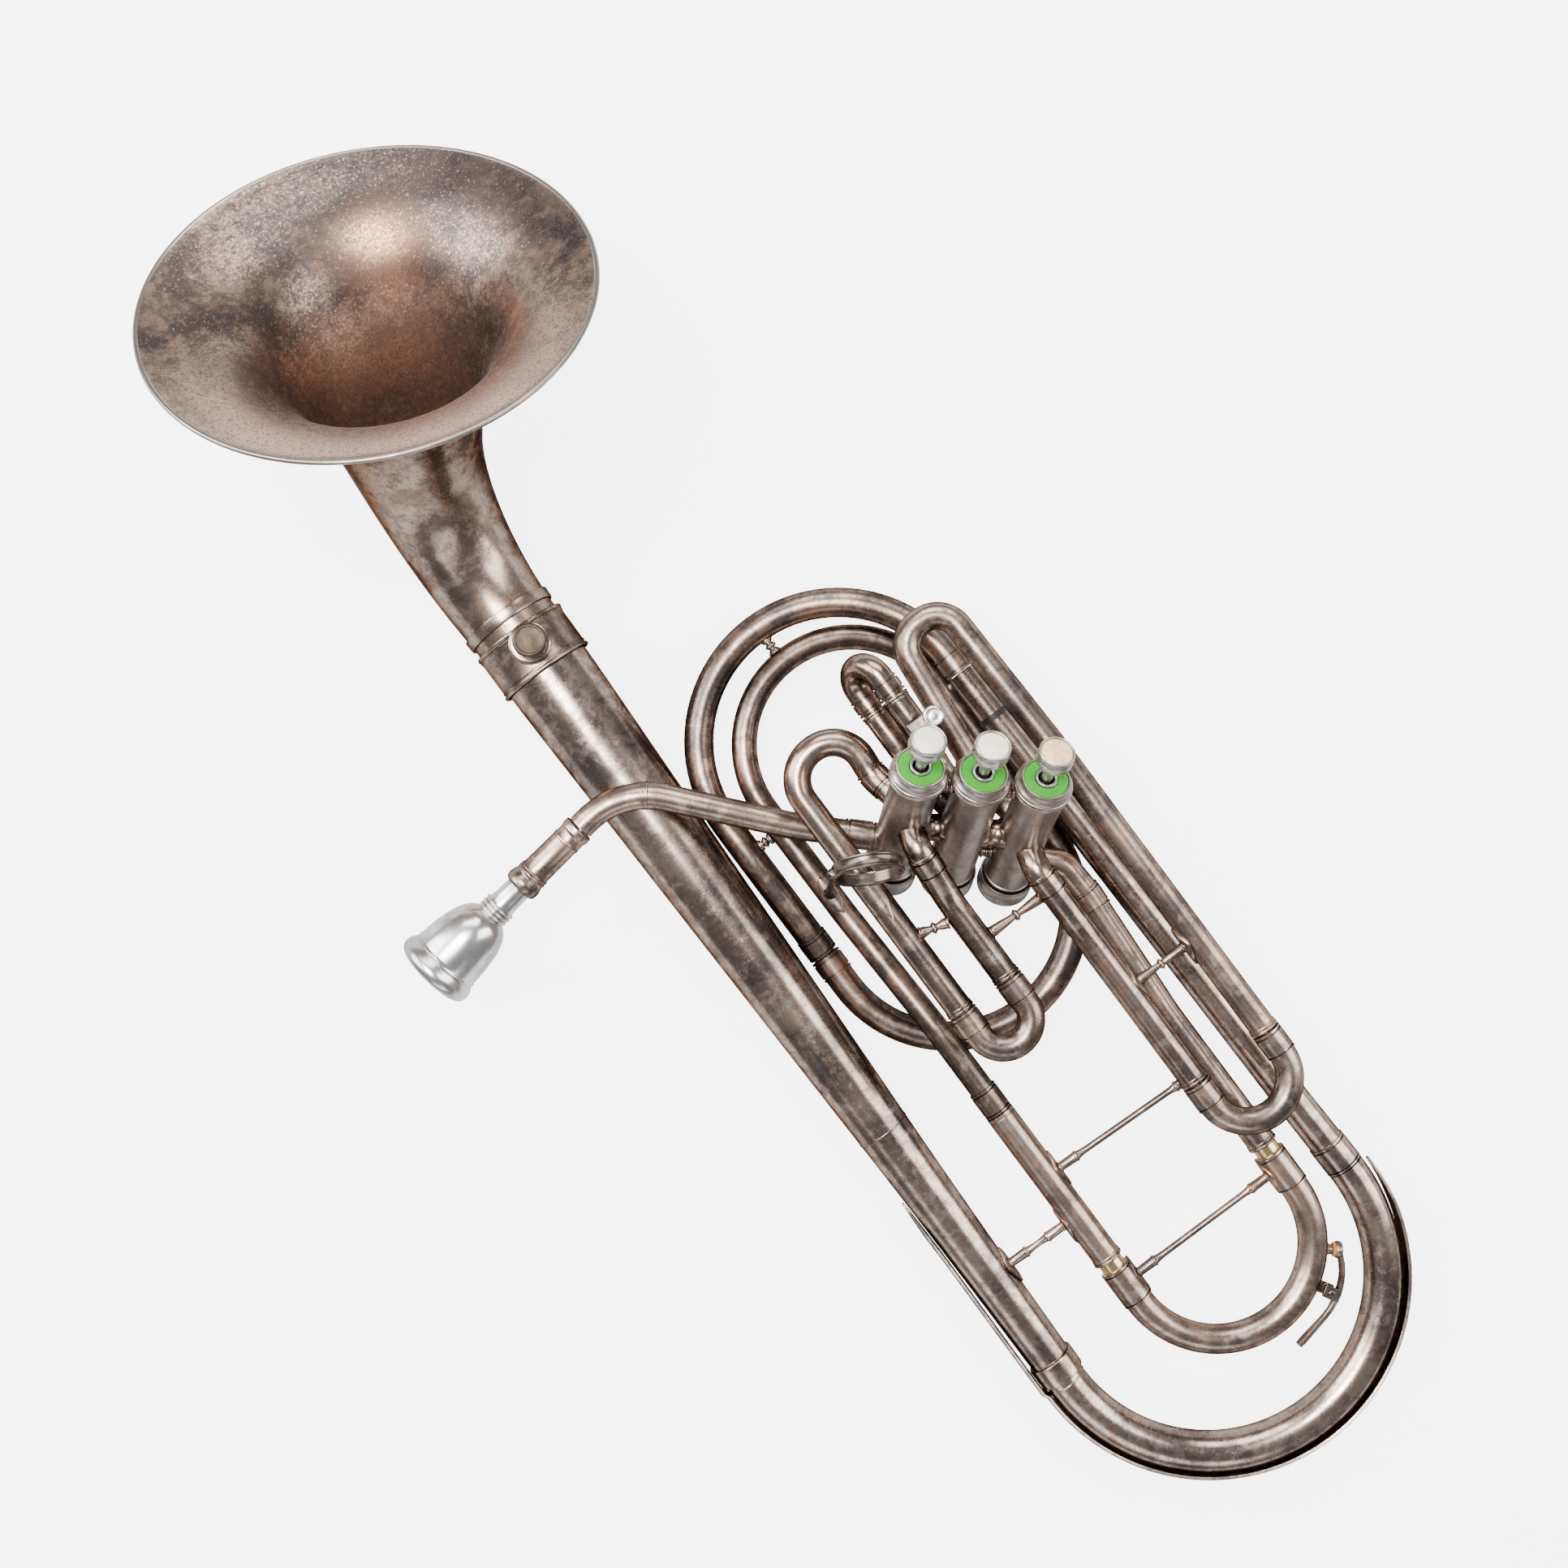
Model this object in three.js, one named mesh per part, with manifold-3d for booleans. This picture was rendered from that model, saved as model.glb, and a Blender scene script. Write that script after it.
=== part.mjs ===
// Bell-front three-valve euphonium lying flat on its back, in millimetres.
// +Z is up, +Y runs along the stem towards the bell, +X goes from the stem to the valve slides.
// Each tube is a hollow sweep along a route of straight runs and round bends.
import * as THREE from 'three';
import { mergeVertices } from 'three/addons/utils/BufferGeometryUtils.js';
import Module from 'manifold-3d';

const wasm = await Module();
wasm.setup();

const v3 = (x, y, z) => new THREE.Vector3(x, y, z);

// ---------------------------------------------------------------- driving dimensions
const GAP = 0.3;                 // clearance between neighbouring solids
const SLIDE_GAP = 0.6;           // radial clearance of a slide leg, between many-sided tubes
const WALL = 0.9;                // wall of the brass tubes
const FINE = 12;                 // sides of a large tube
const COARSE = 8;                // sides of a small tube
const ROUND = 18;                // sides of a turned piece
const BEND_STEP = 22;            // degrees between sections in a wide bend
const TIGHT_STEP = 36;           // degrees between sections in a tight bend
const TIGHT = 24;                // radius under which a bend is tight
const LEAD_IN = 3;               // straight tube before a bend, inside a ferrule

const STEM = { x: -59.3, foot: -64, topY: 138, bowY: -319, topZ: 26, bowZ: 12.5 };
const STEM_R = [[0, 10.4], [65, 11.4], [120, 12.6], [192, 14.9], [430, 22.2], [457, 22.6]];
const COLLAR = { y: 112, length: 24, r: 23.2, ringR: 24.8 };
const BELL = { y: 120, tenon: 20.5, r: 22.3, rimR: 98.7, lead: 26.8, bend: 95, run: 86.9, lean: 19.7, turn: 61.3 };
const BOW = { r: 86.6 };
const GUARD = { out: 10.8, half: 5.5, thick: 1.9, lip: 1.2, count: 25,
  stem: [[-200, 13], [-235, 12.3], [-302, 12.3], [-316.4, 12.2]] };
const RIGHT_X = STEM.foot + 2 * BOW.r;
const OUTER = { left: -34.5, right: 101.5, top: 69, r: 7.3, z: 17.5, rightZ: 21.5 };
const INNER = { left: -15, right: 91.5, top: 48.5, r: 6.3, z: 17.5, rightZ: 8.5 };
const SMALL_BOW = { y: -161, r: 7.4, z: 8.8, startY: -80 };
const TUNING = { left: -11.5, right: 82, z: 26, legEnd: -279, crookY: -284, drop: 20, sleeve: 20, r: 7.2,
  legR: 6.2, leg: 64 };
const FIRST = { left: 3, right: 29.6, z: 58.5, legEnd: -135, crookY: -135.6, drop: 13.9, sleeve: 12, r: 6.6,
  legR: 5.5, topLeft: 2.8, topRight: 38, topY: 5, topIn: 16, topOut: 17.2, leg: 34 };
const THIRD = { left: 71.5, right: 112.4, z: 53, legEnd: -228, crookY: -228.6, drop: 12.5, sleeve: 12.5, r: 6.6,
  legR: 5.5, topLeft: 83.8, topRight: 110, topY: 23, leg: 58 };
const SECOND = { upperX: 64.5, lowerX: 53.5, upperZ: 77, lowerZ: 60.5, legEnd: 2, crookY: 2.6, drop: 10.4,
  reach: 11, sleeve: 8.5, r: 6.1, legR: 5 };
const RING = { centre: v3(7.5, -54, 82.4), r: 16.6, width: 6.4, wall: 1.4, way: v3(-0.45, -0.83, 0.32).normalize(),
  side: v3(-0.863, 0.486, 0.043).normalize(), foot: v3(-13.5, -55.5, 29.7) };
const KEY = { nipple: -40, pivot: -60, thumb: -88, reach: 59.4 };
const BRACE_R = 1.9;

const AXIS = v3(0.405, 0.367, 0.838).normalize();
const ROW = v3(0.767, -0.636, 0).addScaledVector(AXIS, -0.0773).normalize();
const VALVE = {
  foot: v3(35.7, -85.2, 10.9),   // bottom of the middle valve's lower cap
  pitch: 28.7, r: 12.2, bore: 10.9, capR: 13.4, capBore: 12.5,
  pistonR: 10.6, stemR: 2.6, stemHole: 3.6, buttonR: 8.4, pearlR: 7.2, buttonTop: 119.5,
};
const PORT = { lead: 33, knuckle: 47, first: [56, 62], second: [56, 71], third: [48, 58], out: 25 };

// ---------------------------------------------------------------- materials
const silver = (color, roughness) => new THREE.MeshStandardMaterial({ color, roughness, metalness: 0.95 });
const tarnished = silver(0x6f7076, 0.42);
const satin = silver(0x96979b, 0.38);
const bright = silver(0xc6c2b8, 0.22);
const brass = silver(0xc09a55, 0.3);
const steel = silver(0x8d9196, 0.35);
const soft = (color) => new THREE.MeshStandardMaterial({ color, roughness: 0.9, metalness: 0 });
const greenFelt = soft(0x5fbe4b);
const pearl = new THREE.MeshStandardMaterial({ color: 0xe8dcc4, roughness: 0.2, metalness: 0 });

// ---------------------------------------------------------------- geometry helpers
const along = (start, direction, distance) => start.clone().addScaledVector(direction, distance);

// Merges the shared corners, drops the empty triangles and turns the faces outwards.
function closed(source) {
  const plain = source.clone();
  plain.deleteAttribute('normal');
  plain.deleteAttribute('uv');
  const merged = mergeVertices(plain, 1e-4);
  const index = merged.index.array;
  const kept = [];
  for (let i = 0; i < index.length; i += 3) {
    const [a, b, c] = [index[i], index[i + 1], index[i + 2]];
    if (a !== b && b !== c && c !== a) kept.push(a, b, c);
  }
  merged.setIndex(signedVolume(merged, kept) < 0 ? kept.reverse() : kept);
  return merged;
}

function signedVolume(geometry, index) {
  const corner = (i) => new THREE.Vector3().fromBufferAttribute(geometry.attributes.position, i);
  let volume = 0;
  for (let i = 0; i < index.length; i += 3) {
    volume += corner(index[i]).dot(corner(index[i + 1]).cross(corner(index[i + 2])));
  }
  return volume;
}

function toSolid(geometry) {
  const vertProperties = new Float32Array(geometry.attributes.position.array);
  const triVerts = new Uint32Array(geometry.index.array);
  return new wasm.Manifold(new wasm.Mesh({ numProp: 3, vertProperties, triVerts }));
}

function fromSolid(solid) {
  const mesh = solid.getMesh();
  const geometry = new THREE.BufferGeometry();
  geometry.setAttribute('position', new THREE.BufferAttribute(mesh.vertProperties, 3));
  geometry.setIndex(new THREE.BufferAttribute(mesh.triVerts, 1));
  return geometry;
}

const subtract = (geometry, ...tools) => fromSolid(
  tools.reduce((solid, tool) => solid.subtract(toSolid(tool)), toSolid(geometry)));
const unite = (geometry, ...others) => fromSolid(
  others.reduce((solid, other) => solid.add(toSolid(other)), toSolid(geometry)));

// A piece turned about +Z from a profile of [radius, height] points; it closes on itself.
function turned(profile, sides = ROUND) {
  const points = [...profile, profile[0]].map(([r, z]) => new THREE.Vector2(r, z));
  return closed(new THREE.LatheGeometry(points, sides).rotateX(Math.PI / 2));
}

function rod(from, to, radius, sides = COARSE) {
  const length = from.distanceTo(to);
  const shape = new THREE.CylinderGeometry(radius, radius, length, sides);
  const turn = new THREE.Quaternion().setFromUnitVectors(v3(0, 1, 0), to.clone().sub(from).normalize());
  shape.applyQuaternion(turn);
  shape.translate(...from.clone().lerp(to, 0.5).toArray());
  return closed(shape);
}

function ball(centre, radius) {
  return closed(new THREE.SphereGeometry(radius, 8, 5).translate(centre.x, centre.y, centre.z));
}

// The route's sections: [point, bend radius] corners become straight runs with round bends.
function route(corners) {
  const points = [corners[0][0].clone()];
  for (let i = 1; i < corners.length - 1; i += 1) {
    const [corner, radius] = corners[i];
    const back = corners[i - 1][0].clone().sub(corner).normalize();
    const ahead = corners[i + 1][0].clone().sub(corner).normalize();
    const half = back.angleTo(ahead) / 2;
    const turn = Math.PI - 2 * half;
    const centre = along(corner, back.clone().add(ahead).normalize(), radius / Math.sin(half));
    const first = along(corner, back, radius / Math.tan(half)).sub(centre);
    const axis = back.clone().cross(first).normalize();
    const step = radius < TIGHT ? TIGHT_STEP : BEND_STEP;
    const steps = Math.max(1, Math.round(THREE.MathUtils.radToDeg(turn) / step));
    for (let k = 0; k <= steps; k += 1) {
      points.push(first.clone().applyAxisAngle(axis, turn * k / steps).add(centre));
    }
  }
  points.push(corners[corners.length - 1][0].clone());
  return points.filter((p, i) => i === 0 || p.distanceTo(points[i - 1]) > 1e-3);
}

// A U-bend's two corners between two parallel legs, which end at y.
const uBend = (xa, xb, y, z, r = Math.abs(xb - xa) / 2) => [[v3(xa, y, z), r], [v3(xb, y, z), r]];

function lengths(points) {
  const sums = [0];
  for (let i = 1; i < points.length; i += 1) sums.push(sums[i - 1] + points[i].distanceTo(points[i - 1]));
  return sums;
}

function stepAt(stops, s) {
  const next = stops.findIndex((stop) => stop[0] > s);
  if (next < 0) return stops[stops.length - 1][1];
  if (next === 0) return stops[0][1];
  const [a, b] = [stops[next - 1], stops[next]];
  return a[1] + (b[1] - a[1]) * (s - a[0]) / (b[0] - a[0]);
}

// Sections where the tube is measured: each one holds its place and its outer and inner radius.
function sections(points, radius, bands, bore) {
  const sums = lengths(points);
  const total = sums[sums.length - 1];
  const stops = typeof radius === 'number' ? [[0, radius]] : radius;
  const rings = bands.map(([a, b, extra]) => [a < 0 ? total + a : a, b > 0 ? b : total + b, extra]);
  const marks = sums.concat(stops.map((stop) => stop[0]).filter((s) => s > 0 && s < total));
  const clear = marks.filter((s) => !rings.some(([a, b]) => Math.abs(s - a) < 0.05 || Math.abs(s - b) < 0.05));
  const list = clear.map((s) => ({ s, extra: rings.find(([a, b]) => s > a && s < b)?.[2] ?? 0 }));
  for (const [a, b, extra] of rings) {
    if (a > 0) list.push({ s: a, extra: 0 });
    list.push({ s: a + 1e-6, extra }, { s: b - 1e-6, extra });
    if (b < total) list.push({ s: b, extra: 0 });
  }
  list.sort((one, two) => one.s - two.s);
  return list.map(({ s, extra }) => {
    const i = Math.min(points.length - 2, Math.max(0, sums.findIndex((sum) => sum >= s - 1e-9) - 1));
    const mix = THREE.MathUtils.clamp((s - sums[i]) / (sums[i + 1] - sums[i]), 0, 1);
    const outer = stepAt(stops, s);
    return { place: points[i].clone().lerp(points[i + 1], mix), i, mix, outer: outer + extra,
      inner: bore ?? outer - WALL };
  });
}

// A section stands square to a straight run, and turns into the bend only at the run's ends.
function facing(from, to, first, last, mix) {
  const ahead = to.clone().sub(from);
  const length = ahead.length();
  const reach = Math.min(LEAD_IN, length / 2);
  ahead.normalize();
  const atStart = Math.max(0, 1 - mix * length / reach);
  const atEnd = Math.max(0, 1 - (1 - mix) * length / reach);
  return ahead.clone().addScaledVector(first.clone().sub(ahead), atStart)
    .addScaledVector(last.clone().sub(ahead), atEnd).normalize();
}

// A hollow tube along a route. Bands are [start, end, extra radius] ferrules: a start below zero and
// an end at or below zero count back from the tube's end.
function tube(points, radius, { bands = [], sides = COARSE, bore } = {}) {
  const list = sections(points, radius, bands, bore);
  const tangents = points.map((p, i) => {
    const before = i > 0 ? p.clone().sub(points[i - 1]).normalize() : v3(0, 0, 0);
    const after = i < points.length - 1 ? points[i + 1].clone().sub(p).normalize() : v3(0, 0, 0);
    return before.add(after).normalize();
  });
  let side = v3(0, 0, 1).cross(tangents[0]);
  if (side.length() < 0.1) side = v3(1, 0, 0).cross(tangents[0]);
  const vertices = [];
  for (const { place, i, mix, outer, inner } of list) {
    const tangent = facing(points[i], points[i + 1], tangents[i], tangents[i + 1], mix);
    side = side.clone().addScaledVector(tangent, -side.dot(tangent)).normalize();
    const up = tangent.clone().cross(side);
    for (const r of [outer, inner]) {
      for (let k = 0; k < sides; k += 1) {
        const angle = 2 * Math.PI * (k + 0.5) / sides;
        const p = along(place, side, r * Math.cos(angle)).addScaledVector(up, r * Math.sin(angle));
        vertices.push(p.x, p.y, p.z);
      }
    }
  }
  return closed(stitched(vertices, list.length, sides));
}

// Joins the outer and inner rings of a tube and closes its two ends.
function stitched(vertices, count, sides) {
  const index = [];
  const at = (ring, skin, k) => (ring * 2 + skin) * sides + (k % sides);
  const quad = (a, b, c, d) => index.push(a, b, c, a, c, d);
  for (let k = 0; k < sides; k += 1) {
    for (let ring = 0; ring < count - 1; ring += 1) {
      quad(at(ring, 0, k), at(ring, 0, k + 1), at(ring + 1, 0, k + 1), at(ring + 1, 0, k));
      quad(at(ring, 1, k + 1), at(ring, 1, k), at(ring + 1, 1, k), at(ring + 1, 1, k + 1));
    }
    quad(at(0, 0, k + 1), at(0, 0, k), at(0, 1, k), at(0, 1, k + 1));
    quad(at(count - 1, 0, k), at(count - 1, 0, k + 1), at(count - 1, 1, k + 1), at(count - 1, 1, k));
  }
  const geometry = new THREE.BufferGeometry();
  geometry.setAttribute('position', new THREE.Float32BufferAttribute(vertices, 3));
  geometry.setIndex(index);
  return geometry;
}

// ---------------------------------------------------------------- the assembly
const horn = new THREE.Group();
function add(name, geometry, material, parent = horn) {
  const mesh = new THREE.Mesh(geometry, material);
  mesh.name = name;
  parent.add(mesh);
  return mesh;
}

// ---------------------------------------------------------------- valves
const valveFoot = (n) => along(VALVE.foot, ROW, (n - 2) * VALVE.pitch);
const onValve = (n, height) => along(valveFoot(n), AXIS, height);
const casingSpace = (n) => rod(onValve(n, -5), onValve(n, 105), VALVE.r + GAP, ROUND);
const trimmed = (geometry, ...valves) => subtract(geometry, ...valves.map(casingSpace));

// Places a piece made along +Z on valve n; its local X follows the row of valves.
function onAxis(geometry, n) {
  const basis = new THREE.Matrix4().makeBasis(ROW, AXIS.clone().cross(ROW), AXIS);
  return geometry.clone().applyMatrix4(basis.setPosition(valveFoot(n)));
}

// Directions in which the tubes leave the casings.
const FRONT = v3(0, -1, 0).addScaledVector(AXIS, AXIS.y).normalize();
const BACK = FRONT.clone().negate();
const LEFT = ROW.clone().negate();
const FRONT_LEFT = along(FRONT, LEFT, 0.5).normalize();

const PORTS = {
  1: [[PORT.lead, v3(-0.72, 0.69, 0)], [PORT.knuckle, ROW], [PORT.first[0], FRONT_LEFT], [PORT.first[1], BACK]],
  2: [[PORT.knuckle, ROW], [PORT.knuckle, LEFT], [PORT.second[0], BACK], [PORT.second[1], BACK]],
  3: [[PORT.knuckle, LEFT], [PORT.third[0], FRONT_LEFT], [PORT.third[1], BACK], [PORT.out, ROW]],
};

function casing(n) {
  const { r, bore } = VALVE;
  const shell = onAxis(turned([[bore, 2.6], [r, 2.6], [r, 93], [bore, 93]]), n);
  const holes = PORTS[n].map(([height, way]) => {
    const centre = onValve(n, height);
    return rod(along(centre, way, 5), along(centre, way, 16), 5, 6);
  });
  return subtract(shell, ...holes);
}

function topCap(n) {
  const { capR, capBore, stemHole } = VALVE;
  return onAxis(turned([[stemHole, 94], [capBore, 94], [capBore, 87], [capR, 87], [capR, 93], [11.2, 97.5],
    [10.4, 97.5], [10.4, 96.2], [5, 96.2], [5, 97.5], [stemHole, 97.5]]), n);
}

function bottomCap(n) {
  const { capR, capBore } = VALVE;
  return onAxis(turned([[1.5, 0], [capR - 1.5, 0], [capR, 1.6], [capR, 12], [capBore, 12], [capBore, 2.2],
    [1.5, 2.2]]), n);
}

function piston(n) {
  const { pistonR, stemR } = VALVE;
  const shell = onAxis(turned([[0, 46], [8.6, 46], [8.6, 18], [pistonR, 18], [pistonR, 81], [0, 81]]), n);
  const passages = [53, 66].map((height, k) => {
    const way = k ? BACK : ROW;
    return rod(along(onValve(n, height), way, -20), along(onValve(n, height), way, 20), 4.8, 8);
  });
  const socket = rod(onValve(n, 74), onValve(n, 85), stemR + GAP + 0.1, 8);
  return subtract(shell, ...passages, socket);
}

function valveStem(n) {
  const { stemR } = VALVE;
  return onAxis(turned([[0, 75], [stemR, 75], [stemR, 111.6], [1.4, 111.6], [1.4, 115], [0, 115]], 10), n);
}

function button(n) {
  const { buttonR, pearlR, buttonTop } = VALVE;
  return onAxis(turned([[0, 115.4], [1.8, 115.4], [1.8, 112], [3.2, 112], [3.2, 110], [6.4, 110],
    [buttonR, 111.6], [buttonR, 118.2], [pearlR, buttonTop], [0, buttonTop]]), n);
}

function felt(n) {
  return onAxis(turned([[5.3, 96.5], [10.1, 96.5], [10.1, 98], [5.3, 98]], 14), n);
}

// A valve spring at its pressed length, inside the piston's skirt.
function spring(n) {
  const turns = 3;
  const steps = 7;
  const points = [];
  for (let i = 0; i <= turns * steps; i += 1) {
    const angle = 2 * Math.PI * i / steps;
    points.push(v3(6.3 * Math.cos(angle), 6.3 * Math.sin(angle), 3.6 + 26 * i / (turns * steps)));
  }
  return onAxis(tube(points, 0.8, { sides: 4, bore: 0 }), n);
}

for (const n of [1, 2, 3]) {
  add(`valve_casing_${n}`, casing(n), satin);
  add(`valve_top_cap_${n}`, topCap(n), satin);
  add(`valve_bottom_cap_${n}`, bottomCap(n), tarnished);
  add(`valve_piston_${n}`, piston(n), steel);
  add(`valve_stem_${n}`, valveStem(n), brass);
  add(`finger_button_${n}`, button(n), pearl);
  add(`button_felt_${n}`, felt(n), greenFelt);
  add(`valve_spring_${n}`, spring(n), steel);
}

// Short tubes between neighbouring valves.
for (const n of [1, 2]) {
  const pipe = tube([onValve(n, PORT.knuckle), onValve(n + 1, PORT.knuckle)], 6.2, { bore: 5.2 });
  add(`valve_knuckle_${n}_${n + 1}`, trimmed(pipe, n, n + 1), satin);
}

// ---------------------------------------------------------------- conical body
const stemTop = v3(STEM.x, STEM.topY, STEM.topZ);
const stemFoot = v3(STEM.foot, STEM.bowY, STEM.bowZ);
const stemWay = stemTop.clone().sub(stemFoot).normalize();
const stemLength = stemTop.distanceTo(stemFoot);
const onStem = (s) => along(stemFoot, stemWay, s);
const stemZ = (y) => onStem((y - STEM.bowY) / stemWay.y);

add('stem_branch', tube([onStem(LEAD_IN + 2 * GAP), onStem(stemLength - 26 - GAP)], STEM_R,
  { sides: 16, bands: [[0, 11, 1.3]] }), tarnished);

function bowRoute() {
  const top = STEM.bowY + LEAD_IN;
  return route([[v3(STEM.foot, top, STEM.bowZ), 0], ...uBend(STEM.foot, RIGHT_X, STEM.bowY - BOW.r, STEM.bowZ),
    [v3(RIGHT_X, top, STEM.bowZ), 0]]);
}
add('bottom_bow', tube(bowRoute(), [[0, 10.4], [280, 9.2]], { sides: FINE }), tarnished);

// Wear strip down the stem's outer side and round the outside of the bow, just clear of both.
function bowGuard() {
  const { out, half, thick, lip, count, stem } = GUARD;
  const centre = v3((STEM.foot + RIGHT_X) / 2, STEM.bowY, STEM.bowZ);
  const stations = stem.map(([y, reach]) => ({ place: stemZ(y), way: v3(-1, 0, 0), reach }));
  for (let i = 0; i < count; i += 1) {
    const angle = Math.PI * (1 + i / (count - 1));
    const way = v3(Math.cos(angle), Math.sin(angle), 0);
    stations.push({ place: along(centre, way, BOW.r), way, reach: out });
  }
  const profile = [[lip, -half], [thick, 0.5 - half], [thick, half - 0.5], [lip, half], [0, half], [0, -half]];
  const vertices = [];
  for (const { place, way, reach } of stations) {
    for (const [rise, up] of profile) {
      const p = along(place, way, reach + rise);
      vertices.push(p.x, p.y, p.z + up);
    }
  }
  return closed(prism(vertices, stations.length, profile.length));
}

// Joins matching outlines of n corners each, and closes the first and the last.
function prism(vertices, count, n) {
  const index = [];
  for (let i = 0; i < count - 1; i += 1) {
    for (let k = 0; k < n; k += 1) {
      const [a, b] = [i * n + k, i * n + (k + 1) % n];
      index.push(a, b, b + n, a, b + n, a + n);
    }
  }
  for (let k = 1; k < n - 1; k += 1) {
    index.push(0, k + 1, k, (count - 1) * n, (count - 1) * n + k, (count - 1) * n + k + 1);
  }
  const geometry = new THREE.BufferGeometry();
  geometry.setAttribute('position', new THREE.Float32BufferAttribute(vertices, 3));
  geometry.setIndex(index);
  return geometry;
}
add('bow_guard', bowGuard(), tarnished);

const rightTop = v3(OUTER.right, -8, OUTER.rightZ);
const rightFoot = v3(RIGHT_X, STEM.bowY + LEAD_IN + 2 * GAP, STEM.bowZ);
add('right_branch', tube([rightFoot, v3(RIGHT_X - 1.5, -268, 13.2), rightTop], [[0, 8.9], [308, 7.3]],
  { sides: FINE, bands: [[0, 12, 1.2]] }), tarnished);

const outerBend = (OUTER.right - OUTER.left) / 2 - 0.1;
add('outer_loop', tube(route([[along(rightTop, v3(0, 1, 0), 0.6), 0],
  [v3(OUTER.right, OUTER.top, OUTER.z + 1.5), outerBend], [v3(OUTER.left, OUTER.top, OUTER.z), outerBend],
  [v3(OUTER.left, -20, OUTER.z), 40], [v3(OUTER.left, SMALL_BOW.startY + 1.2, SMALL_BOW.z), 0]]), OUTER.r,
  { bands: [[0, 9, 0.9], [-9, 0, 1]] }), tarnished);

const innerBend = (INNER.right - INNER.left) / 2;
const smallBend = (INNER.right - 1 - OUTER.left) / 2;
add('small_bow', tube(route([[v3(OUTER.left, SMALL_BOW.startY - GAP, SMALL_BOW.z), 0],
  ...uBend(OUTER.left, INNER.right - 1, SMALL_BOW.y, SMALL_BOW.z, smallBend - 0.1),
  [v3(INNER.right - 1, SMALL_BOW.startY, SMALL_BOW.z), 0]]), SMALL_BOW.r,
  { bands: [[0, 8, 1], [-9, 0, 0.9]] }), tarnished);

add('inner_loop', tube(route([[v3(INNER.right - 1, SMALL_BOW.startY + GAP, SMALL_BOW.z), 0],
  [v3(INNER.right, -40, INNER.rightZ), 40],
  [v3(INNER.right, INNER.top, INNER.rightZ + 3), innerBend - 0.2],
  [v3(INNER.left, INNER.top, INNER.z), innerBend - 0.2],
  [v3(INNER.left + 1, -70, 20), 60],
  [v3(TUNING.left, -140, TUNING.z), 60],
  [v3(TUNING.left, -190, TUNING.z), 0]]), INNER.r, { bands: [[-7, 0, 1.6]] }), tarnished);

// ---------------------------------------------------------------- bell and its collar
function bellRoute() {
  const start = stemZ(BELL.y);
  const lean = THREE.MathUtils.degToRad(BELL.lean);
  const rise = v3(Math.sin(lean), 0, Math.cos(lean));
  const turn = THREE.MathUtils.degToRad(BELL.turn);
  const points = [start];
  const bendFrom = along(start, v3(0, 1, 0), BELL.lead);
  for (let k = 0; k <= 6; k += 1) {
    const angle = turn * k / 6;
    points.push(along(along(bendFrom, v3(0, 1, 0), BELL.bend * Math.sin(angle)), rise,
      BELL.bend * (1 - Math.cos(angle))));
  }
  const out = v3(0, Math.cos(turn), 0).addScaledVector(rise, Math.sin(turn));
  const last = points[points.length - 1];
  for (const share of [0.3, 0.55, 0.75, 0.88, 0.96, 1]) points.push(along(last, out, BELL.run * share));
  return points;
}

// The flare widens ever faster towards the rim, and ends in a rolled bead.
function bell() {
  const points = bellRoute();
  const sums = lengths(points);
  const total = sums[sums.length - 1];
  const flare = total - BELL.tenon;
  const steepness = Math.log(BELL.rimR / BELL.r) / 0.55;
  const offset = flare / (Math.exp(steepness) - 1);
  const radiusAt = (left) => BELL.r * ((left + offset) / (flare + offset)) ** -0.55;
  const neck = [[0, BELL.r], [BELL.tenon, BELL.r]];
  const radii = [...neck, ...sums.slice(1).map((s) => [s, radiusAt(total - s)])];
  return tube(points, radii, { sides: 20, bands: [[BELL.tenon, BELL.tenon + 6, 2], [-2.4, 0, 1.6]] });
}
add('bell', bell(), tarnished);

function collar() {
  const { length, r, ringR } = COLLAR;
  const shape = turned([[r, 0], [ringR, 0], [ringR, 5], [r + 1, 5], [r + 1, length - 4], [ringR, length - 4],
    [ringR, length], [r, length]], 20);
  const turn = new THREE.Quaternion().setFromUnitVectors(v3(0, 0, 1), stemWay);
  const base = stemZ(COLLAR.y);
  return shape.applyQuaternion(turn).translate(base.x, base.y, base.z);
}
const screwWay = v3(0.12, 0, 1).addScaledVector(stemWay, -stemWay.z).normalize();
const screwSeat = stemZ(COLLAR.y + 14);
const screwHole = rod(along(screwSeat, screwWay, 15), along(screwSeat, screwWay, 40), 2.5);
const screwBoss = rod(along(screwSeat, screwWay, 23.6), along(screwSeat, screwWay, 28), 6.5, 10);
add('bell_collar', subtract(unite(collar(), screwBoss), screwHole), tarnished);

// Knurled thumbscrew that clamps the bell's tenon.
function thumbscrew(seat, way, reach, headR, shaftR = 2.1) {
  const [neck, top] = [reach + 3, reach + 8];
  const shape = turned([[0, 0], [shaftR, 0], [shaftR, reach], [3.2, reach], [3.2, neck], [headR, neck],
    [headR, top], [0, top]], 14);
  const turn = new THREE.Quaternion().setFromUnitVectors(v3(0, 0, 1), way);
  return shape.applyQuaternion(turn).translate(seat.x, seat.y, seat.z);
}
add('bell_thumbscrew', thumbscrew(along(screwSeat, screwWay, 22.8), screwWay, 5.6, 8), bright);

// ---------------------------------------------------------------- leadpipe and mouthpiece
const MOUTH = { end: v3(-90, 41, 50.5), way: v3(-0.99, -0.135, -0.03).normalize() };
const leadRoute = route([[onValve(1, PORT.lead), 0], [v3(-8, -19, 43.5), 60], [v3(-63, 45, 51.5), 40],
  [along(MOUTH.end, MOUTH.way, -1), 0]]);
add('leadpipe', trimmed(tube(leadRoute, 6.5, { bands: [[19, 26, 0.9]] }), 1), tarnished);

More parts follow.
